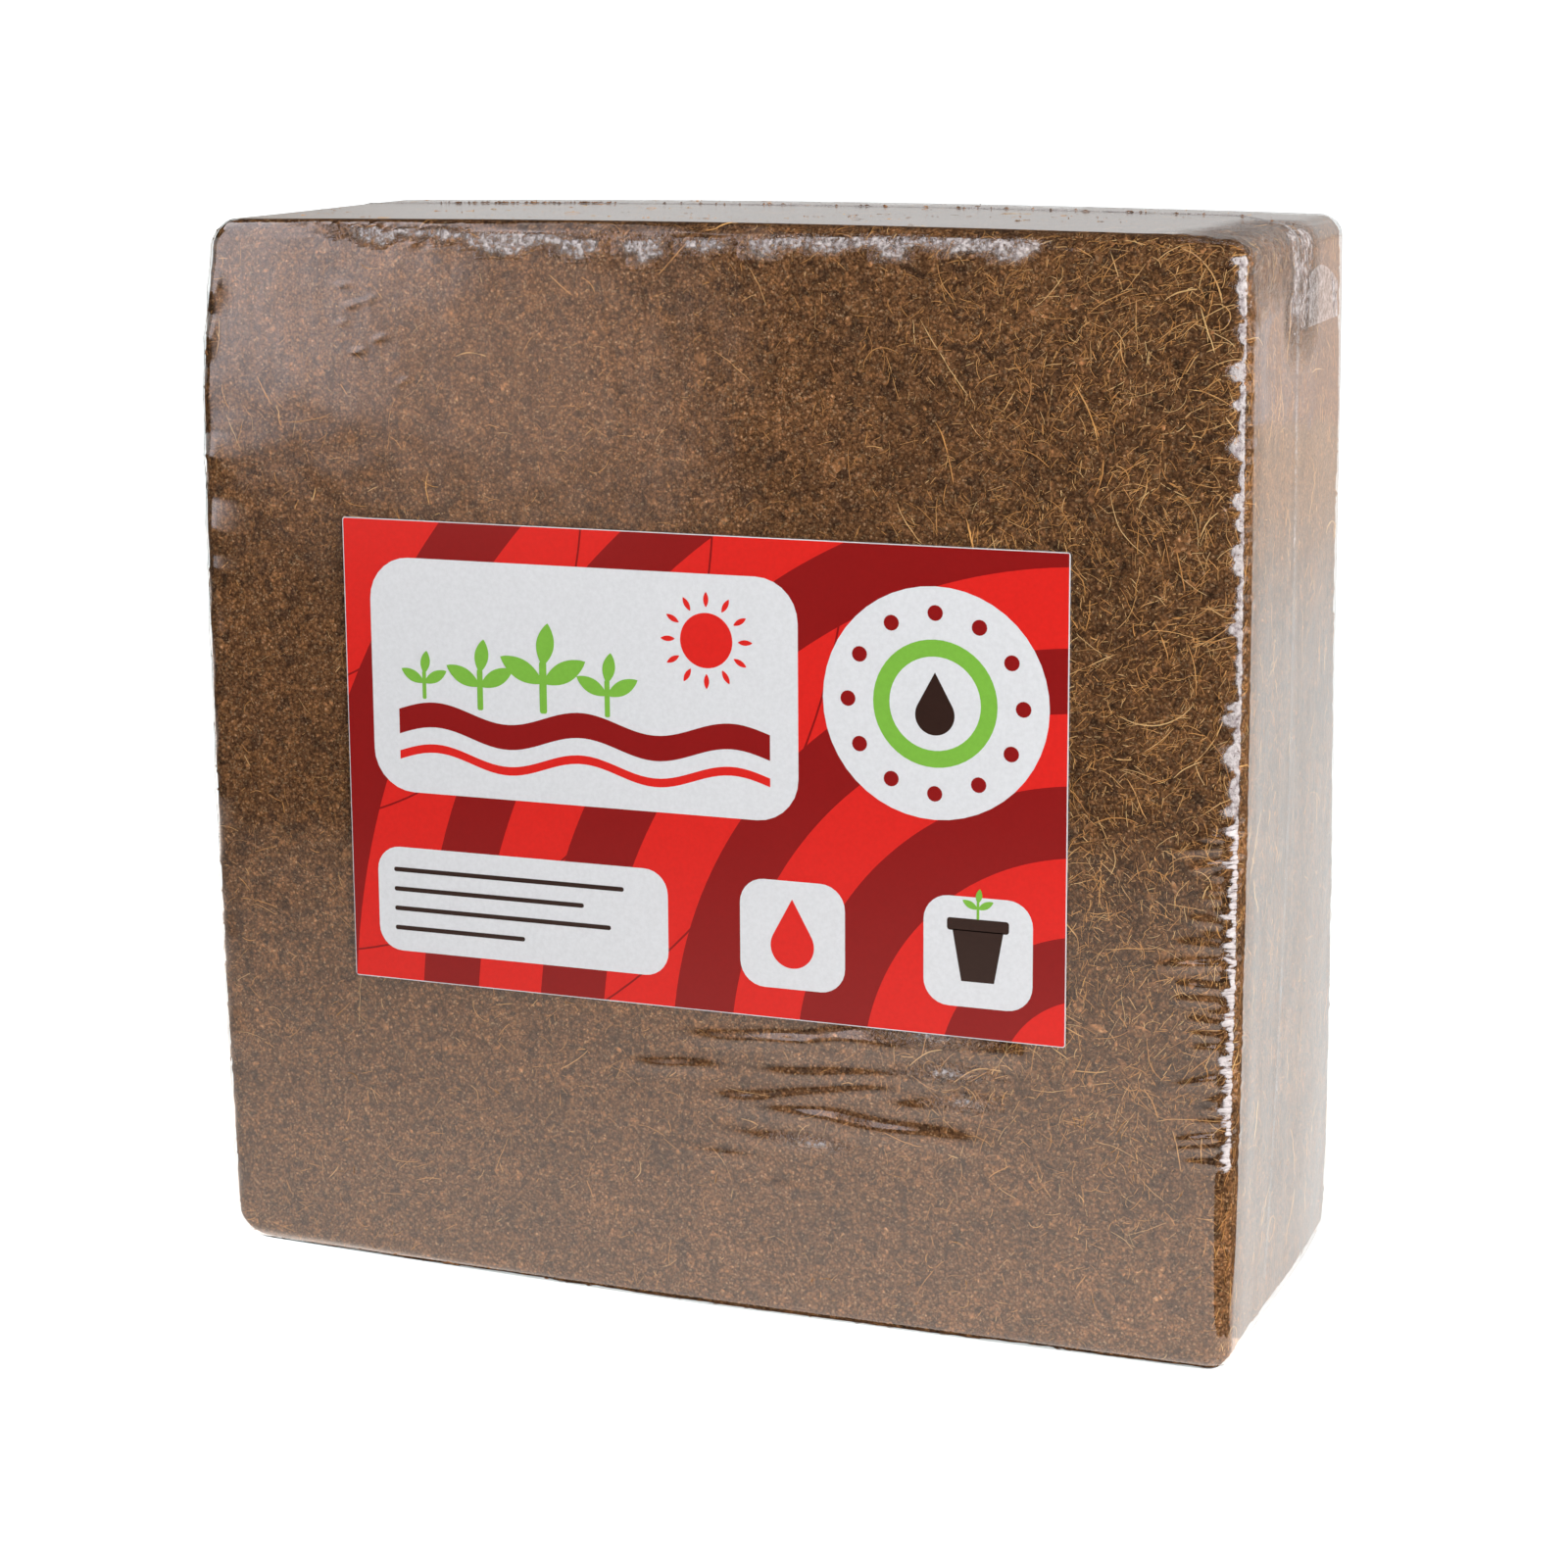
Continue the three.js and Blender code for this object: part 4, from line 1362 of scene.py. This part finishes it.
def wave(left, right, z, height, swing, waves, steps=60):
    """A wavy stripe from left to right."""
    xs = np.linspace(left, right, steps)
    lift = swing * np.sin((xs - left) / (right - left) * waves * 2 * math.pi)
    upper = list(zip(xs, z + lift + height / 2))
    lower = list(zip(xs, z + lift - height / 2))
    return upper + lower[::-1]


def drop(x, z, radius):
    """A drop with its point up."""
    return arc(x, z, radius, 150, 390, 30) + [(x, z + radius * 2.1)]


def ring_places(x, z, radius, count):
    """Places evenly round a circle, each with its angle in degrees."""
    for angle in range(0, 360, 360 // count):
        turn = math.radians(angle)
        yield x + radius * math.cos(turn), z + radius * math.sin(turn), angle


def leaf(x, z, length, width, angle):
    """A pointed leaf that grows from (x, z) at that angle."""
    t = np.linspace(0, 1, 14)
    swell = width / 2 * np.sin(math.pi * t) ** 0.8
    turn = math.radians(angle)
    outline = [*zip(t * length, swell), *zip(t[::-1] * length, -swell[::-1])]
    return [
        (x + u * math.cos(turn) - v * math.sin(turn), z + u * math.sin(turn) + v * math.cos(turn))
        for u, v in outline
    ]


def sprout(x, z, size, layer):
    """A stem with three leaves, as shapes in green."""
    stem = rounded_box(x, z + size * 0.3, size * 0.09, size * 0.6, size * 0.03)
    sides = [leaf(x, z + size * 0.35, size * 0.6, size * 0.24, angle) for angle in (28, 152)]
    top = leaf(x, z + size * 0.55, size * 0.5, size * 0.22, 82)
    return [("green", layer + 0.2 * i, shape) for i, shape in enumerate((stem, *sides, top))]


def clipped(shape, width, height):
    """The part of a shape inside a box about the middle."""
    for axis, side in ((0, 1), (0, -1), (1, 1), (1, -1)):
        limit = (width, height)[axis] / 2
        kept = []
        for a, b in zip(shape, shape[1:] + shape[:1]):
            inside_a, inside_b = side * a[axis] <= limit, side * b[axis] <= limit
            if inside_a:
                kept.append(a)
            if inside_a != inside_b:
                t = (side * limit - a[axis]) / (b[axis] - a[axis])
                kept.append((a[0] + t * (b[0] - a[0]), a[1] + t * (b[1] - a[1])))
        shape = kept
        if not shape:
            return []
    return shape


# The bare edge of paper round the print, and how far each layer of ink lies above the last
PRINT_MARGIN = 0.25
INK_STEP = 0.03

# Middles of the sun, the dotted ring and the two small tiles, from the label's middle
SUN = (4, 37)
RING = (68, 24)
DROP_TILE = (28, -42)
POT_TILE = (80, -42)


def ground_shapes(width, height):
    """The red ground with its darker curved bands and thin arcs."""
    radii = enumerate(range(26, 250, 38))
    swept = [band_part(112, -78, r, r + 17 + 2 * (i % 2), 85, 185) for i, r in radii]
    lines = [band_part(-128, 74, r, r + 0.5, 270, 380) for r in range(58, 173, 38)]
    shapes = [("red", 1, rounded_box(0, 0, width, height, 0.6))]
    for layer, parts in ((2, swept), (2.5, lines)):
        shapes += [("dark_red", layer, clipped(part, width, height)) for part in parts]
    return [shape for shape in shapes if shape[2]]


def label_shapes(width, height):
    """The printed shapes as (ink, layer, outline), in millimetres from the label's middle."""
    shapes = ground_shapes(width - 2 * PRINT_MARGIN, height - 2 * PRINT_MARGIN)
    shapes += [
        ("paper", 3, rounded_box(-33, 22, 126, 66, 12)),
        ("paper", 3, rounded_box(-52, -42, 88, 30, 7)),
        ("paper", 3, disc(*RING, 31)),
        ("paper", 3, rounded_box(*DROP_TILE, 30, 30, 7)),
        ("paper", 3, rounded_box(*POT_TILE, 30, 30, 7)),
        ("dark_red", 4, wave(-88, 22, 9, 7.0, 2.4, 2.5)),
        ("red", 4, wave(-88, 22, -0.5, 2.4, 2.4, 2.5)),
        ("red", 4, disc(*SUN, 7.5)),
    ]
    shapes += [("red", 4, leaf(x, z, 4.2, 1.5, angle)) for x, z, angle in ring_places(*SUN, 9, 12)]
    for x, size in ((-80, 13), (-63, 19), (-44, 24), (-25, 17)):
        shapes += sprout(x, 14 + 1.8 * math.sin(x), size, 5)
    for row, length in enumerate((70, 58, 66, 40)):
        shapes.append(("brown", 4, rounded_box(-91 + length / 2, -33.5 - 5.6 * row, length, 1.3, 0.6)))
    shapes += [("dark_red", 4, disc(x, z, 2.1, 16)) for x, z, _ in ring_places(*RING, 24, 12)]
    shapes += [
        ("green", 4, disc(*RING, 17)),
        ("paper", 5, disc(*RING, 12.5)),
        ("brown", 6, drop(RING[0], RING[1] - 3, 5.4)),
        ("red", 4, drop(DROP_TILE[0], DROP_TILE[1] - 3, 6.2)),
        ("brown", 4, [(73, -36), (87, -36), (84.5, -50), (75.5, -50)]),
        ("brown", 4, rounded_box(POT_TILE[0], -34.6, 17, 3.4, 0.8)),
    ]
    return shapes + sprout(POT_TILE[0], -33, 8, 4)


# The inks, with the bare paper first
INKS = ("paper", "red", "dark_red", "brown", "green")


class BALE_OT_label(bpy.types.Operator):
    """Stick the printed label on the front of the film"""

    bl_idname = "bale.label"
    bl_label = "Label"

    def execute(self, context):
        colours = context.scene.bale_label
        low = np.array(LABEL_LOW) / MM - BLOCK_MIDDLE
        high = np.array(LABEL_HIGH) / MM - BLOCK_MIDDLE
        width, height = high[0] - low[0], high[2] - low[2]
        middle = (low + high) / 2
        edge = rounded_box(0, 0, width, height, 0.8)
        n = len(edge)
        points = [(middle[0] + x, y, middle[2] + z) for y in (low[1], high[1]) for x, z in edge]
        faces = [list(range(n)), list(range(2 * n - 1, n - 1, -1))]
        faces += [[i, i + n, (i + 1) % n + n, (i + 1) % n] for i in range(n)]
        ink_of = [0] * len(faces)
        for ink, layer, shape in label_shapes(width, height):
            start = len(points)
            points += [(middle[0] + x, low[1] - INK_STEP * layer, middle[2] + z) for x, z in shape]
            faces.append(list(range(start, start + len(shape))))
            ink_of.append(INKS.index(ink))
        names = [f"label {ink.replace('_', ' ')}" for ink in INKS]
        materials = [print_material(name, getattr(colours, ink)) for name, ink in zip(names, INKS)]
        piece = add_piece("printed_label", points, faces, materials, "label", ink_of, replaces="label")
        piece.data.shade_flat()
        return {"FINISHED"}


# The studio

CAMERA_PLACE = Vector((0.32965, -0.86645, 0.34696))
CAMERA_AZIMUTH = 20.963
CAMERA_ELEVATION = 10.89
CAMERA_ROLL = -0.404
FOCAL_LENGTH_IN_PIXELS = 3385.0
PHOTO_WIDTH_IN_PIXELS = 1600.0
SENSOR_WIDTH = 36.0
# How far the lens's axis meets the photograph right of and below its middle, in the photograph's pixels
AXIS_OFF_MIDDLE = (-20.0, -110.0)


def add_camera():
    azimuth, elevation = math.radians(CAMERA_AZIMUTH), math.radians(CAMERA_ELEVATION)
    back = Vector(
        (
            math.sin(azimuth) * math.cos(elevation),
            -math.cos(azimuth) * math.cos(elevation),
            math.sin(elevation),
        )
    )
    level = Vector((0, 0, 1)).cross(back).normalized()
    upright = back.cross(level)
    roll = math.radians(CAMERA_ROLL)
    right = level * math.cos(roll) + upright * math.sin(roll)
    up = upright * math.cos(roll) - level * math.sin(roll)
    data = bpy.data.cameras.new("camera")
    data.sensor_width = SENSOR_WIDTH
    data.lens = SENSOR_WIDTH * FOCAL_LENGTH_IN_PIXELS / PHOTO_WIDTH_IN_PIXELS
    data.shift_x = -AXIS_OFF_MIDDLE[0] / PHOTO_WIDTH_IN_PIXELS
    data.shift_y = AXIS_OFF_MIDDLE[1] / PHOTO_WIDTH_IN_PIXELS
    data.clip_start = 0.05
    data.clip_end = 50
    camera = bpy.data.objects.new("camera", data)
    bpy.context.scene.collection.objects.link(camera)
    turn = Matrix((right, up, back)).transposed().to_4x4()
    camera.matrix_world = Matrix.Translation(CAMERA_PLACE) @ turn
    bpy.context.scene.camera = camera


# The large soft light, in metres
KEY_PLACE = (1.75, -0.95, 0.95)
KEY_AIM = (0, 0, 0.15)
KEY_SIZE = 1.3
KEY_COLOUR = (1.0, 0.98, 0.95)


def add_key_light(power):
    data = bpy.data.lights.new("key", "AREA")
    data.size = KEY_SIZE
    data.energy = power
    data.color = KEY_COLOUR
    key = bpy.data.objects.new("key", data)
    bpy.context.scene.collection.objects.link(key)
    key.location = KEY_PLACE
    key.rotation_euler = (Vector(KEY_AIM) - Vector(KEY_PLACE)).to_track_quat("-Z", "Y").to_euler()
    key.visible_glossy = False


def stage_sheet(name, corners, material):
    """A flat stage sheet through its corners, in metres."""
    mesh = bpy.data.meshes.new(name)
    mesh.from_pydata(corners, [], [range(len(corners))])
    mesh.materials.append(material)
    mesh.update()
    sheet = bpy.data.objects.new(name, mesh)
    bpy.context.scene.collection.objects.link(sheet)
    return sheet


# What the cards look like in the film: colour, strength, and fades (axis, from, to) across the card
GLOWS = {
    "dark": ((0.01, 0.008, 0.007, 1), 1.0, ()),
    "haze": ((1.0, 0.86, 0.77, 1), 1.85, ((1, 0.0, 0.2), (1, -0.17, 1.11))),
    "brown wall": ((0.26, 0.19, 0.14, 1), 1.0, ()),
    "warm low wall": ((0.76, 0.6, 0.52, 1), 1.0, ((2, 1.0, 0.5),)),
    "pale low wall": ((0.86, 0.8, 0.8, 1), 1.0, ((0, 0.0, 0.025), (2, 1.0, 0.5))),
    "warm floor": ((0.8, 0.66, 0.56, 1), 1.0, ((1, 0.0, 0.7),)),
    "grey wall": ((1.0, 0.97, 0.95, 1), 0.6, ((0, 0.0, 0.14), (2, 0.08, 0.3))),
    "veil": ((1.0, 0.9, 0.92, 1), 3.1, ((0, 0.87, 0.7), (2, 0.03, 0.1))),
    "veil above": ((1.0, 0.92, 0.95, 1), 3.0, ((0, 1.0, 0.55),)),
    "warm veil": ((1.0, 0.72, 0.6, 1), 1.4, ((0, 0.0, 0.6), (0, 1.0, 0.62), (2, 0.0, 0.45), (2, 1.0, 0.7))),
    "pale wall": ((1.0, 0.88, 0.9, 1), 2.4, ((0, 1.0, 0.95), (2, 0.0, 0.12), (2, 1.0, 0.7))),
    "glint": ((1.0, 1.0, 1.0, 1), 12.0, ()),
}


def upright(low, high, y):
    """Corners of an upright card, from one low corner (x, z) to a high one."""
    return [(low[0], y, low[1]), (high[0], y, low[1]), (high[0], y, high[1]), (low[0], y, high[1])]


def level(z, *corners):
    """Corners of a level card."""
    return [(x, y, z) for x, y in corners]


# The cards that the film mirrors: name, look, corners in metres
CARDS = [
    ("ceiling", "dark", level(1.6, (-5, -5), (5, -5), (5, 5), (-5, 5))),
    ("room_side", "dark", level(0.003, (0.17, -1.3), (2.6, -1.3), (2.6, 2.19), (1.4, 2.19), (0.19, 0.02))),
    ("far_wall", "brown wall", upright((-6, 0), (6, 1.6), 2.3)),
    ("room_left", "dark", level(0.003, (-4, 0.0), (-0.16, 0.0), (-0.9, 2.19), (-4, 2.19))),
    ("low_wall", "warm low wall", upright((0.2, 0), (0.66, 0.3), 2.15)),
    ("low_wall_right", "pale low wall", upright((0.6, 0), (3.0, 0.3), 2.14)),
    ("floor_far_right", "warm floor", level(0.004, (0.2, 0.9), (3.0, 0.9), (3.0, 2.16), (0.2, 2.16))),
    ("back_wall", "grey wall", upright((-1.8, 0), (3.0, 1.2), 2.2)),
    ("room_wall", "dark", upright((-6, 0), (6, 1.6), -5.0)),
    ("veil_card", "veil", upright((-1.25, 0.02), (-0.36, 1.5), -1.06)),
    ("veil_ceiling", "veil above", level(1.5, (-1.6, -1.06), (-0.5, -1.06), (-0.4, 0.3), (-1.6, 0.3))),
    ("warm_veil_card", "warm veil", upright((-0.76, 0.0), (-0.34, 0.26), -1.05)),
    ("pale_wall", "pale wall", upright((-3.2, 0.34), (-0.6, 0.95), -2.6)),
    ("lamp_card", "glint", [(1.35, -1.15, 0.55), (1.6, -0.6, 0.55), (1.6, -0.6, 1.1), (1.35, -1.15, 1.1)]),
]

# Where the pale table ends in front of the bale, as a line from left to right, and the cards that lie
# along it: name, look, height, corners from the line's middle
TABLE_EDGE = ((-0.389, -0.483), (-0.007, -0.617))
TABLE_CARDS = [
    ("room_floor", "dark", 0.002, level(0.0, (-4, -5), (4, -5), (4, 0.6), (-4, 0.6))),
    ("table_haze", "haze", 0.0035, level(0.0, (-2, -0.1), (0.25, -0.1), (0.18, 0.6), (-2, 0.6))),
]


def card_material(look):
    """A card's glow, clear where it fades out."""
    colour, strength, fades = GLOWS[look]
    material, tree, surface = new_material(f"{look} card")
    glow = tree.node("ShaderNodeEmission", Color=colour, Strength=strength).outputs[0]
    if not fades:
        tree.feed(surface, glow)
        return material
    place = tree.node("ShaderNodeTexCoord").outputs["Generated"]
    axes = tree.node("ShaderNodeSeparateXYZ", Vector=place).outputs
    eased = [tree.spread(axes[axis], start, end, kind="SMOOTHSTEP") for axis, start, end in fades]
    share = tree.times(*eased)
    clear = tree.node("ShaderNodeBsdfTransparent").outputs[0]
    tree.feed(surface, tree.mix_shader(share, clear, glow))
    return material


def add_card(name, look, corners):
    """A stage card that shows only as a reflection."""
    material = bpy.data.materials.get(f"{look} card") or card_material(look)
    card = stage_sheet(name, corners, material)
    card.visible_camera = False
    card.visible_diffuse = False
    card.visible_transmission = False
    card.visible_volume_scatter = False
    card.visible_shadow = False
    return card


# How much brighter the background looks to the camera, and the floor to the camera and in the film
SKY_SEEN = 1.5
FLOOR_SEEN = 1.1
FLOOR_MIRRORED = 0.33
FLOOR_GLOW = (0.94, 1, 1, 1)
FLOOR_REACH = 9.0


def add_even_light(strength):
    """Light from all round, that the film mirrors at full strength and the camera sees as white."""
    world = bpy.data.worlds.new("even light")
    world.use_nodes = True
    background = world.node_tree.nodes["Background"]
    background.inputs["Color"].default_value = (1.0, 1.0, 1.0, 1.0)
    sky = Tree(world.node_tree)
    path = sky.node("ShaderNodeLightPath").outputs
    seen = sky.times(path["Is Camera Ray"], SKY_SEEN)
    mirrored = sky.times(path["Is Glossy Ray"], 1.0 - strength)
    sky.feed(background.inputs["Strength"], sky.plus(seen, mirrored, strength))
    bpy.context.scene.world = world


def add_floor(colour):
    """A matt floor that looks white to the camera and a little brighter in the film."""
    material, tree, surface = new_material("floor")
    matt = tree.node("ShaderNodeBsdfDiffuse", Color=tuple(colour))
    path = tree.node("ShaderNodeLightPath").outputs
    seen = tree.times(path["Is Camera Ray"], FLOOR_SEEN)
    lift = tree.plus(seen, tree.times(path["Is Glossy Ray"], FLOOR_MIRRORED))
    glow = tree.node("ShaderNodeEmission", Color=FLOOR_GLOW, Strength=lift)
    both = tree.node("ShaderNodeAddShader", in0=matt.outputs[0], in1=glow.outputs[0])
    tree.feed(surface, both.outputs[0])
    r = FLOOR_REACH
    stage_sheet("floor", level(0, (-r, -r), (r, -r), (r, r), (-r, r)), material)


class BALE_OT_stage(bpy.types.Operator):
    """Set up the pale floor, the soft light, the cards that the film mirrors, and the camera"""

    bl_idname = "bale.stage"
    bl_label = "Stage"

    def execute(self, context):
        stage = context.scene.bale_stage
        add_even_light(stage.room_light)
        add_floor(stage.floor_colour)
        (ax, ay), (bx, by) = TABLE_EDGE
        for name, look, height, corners in TABLE_CARDS:
            card = add_card(name, look, corners)
            card.location = ((ax + bx) / 2, (ay + by) / 2, height)
            card.rotation_euler = (0, 0, math.atan2(by - ay, bx - ax))
        for name, look, corners in CARDS:
            add_card(name, look, corners)
        add_key_light(stage.key_power)
        add_camera()
        context.scene.view_settings.view_transform = "Standard"
        return {"FINISHED"}


# The add-on


OPERATORS = (
    BALE_OT_coir_block,
    BALE_OT_fibres,
    BALE_OT_husk_flakes,
    BALE_OT_film,
    BALE_OT_label,
    BALE_OT_stage,
)


class BALE_PT_panel(bpy.types.Panel):
    """Lists the bale's settings and the operators that make it"""

    bl_idname = "BALE_PT_panel"
    bl_label = "Coir Bale"
    bl_space_type = "VIEW_3D"
    bl_region_type = "UI"
    bl_category = "Coir Bale"

    def draw(self, context):
        for name, group in SETTINGS.items():
            box = self.layout.box()
            for setting in group.__annotations__:
                box.prop(getattr(context.scene, name), setting)
        for operator in OPERATORS:
            self.layout.operator(operator.bl_idname)


CLASSES = (*SETTINGS.values(), *OPERATORS, BALE_PT_panel)


def register():
    for cls in CLASSES:
        bpy.utils.register_class(cls)
    for name, group in SETTINGS.items():
        setattr(bpy.types.Scene, name, bpy.props.PointerProperty(type=group))


def unregister():
    for name in SETTINGS:
        delattr(bpy.types.Scene, name)
    for cls in reversed(CLASSES):
        bpy.utils.unregister_class(cls)


def main():
    register()
    bpy.ops.bale.coir_block()
    bpy.ops.bale.fibres()
    bpy.ops.bale.husk_flakes()
    bpy.ops.bale.film()
    bpy.ops.bale.label()
    bpy.ops.bale.stage()


if __name__ == "__main__":
    main()
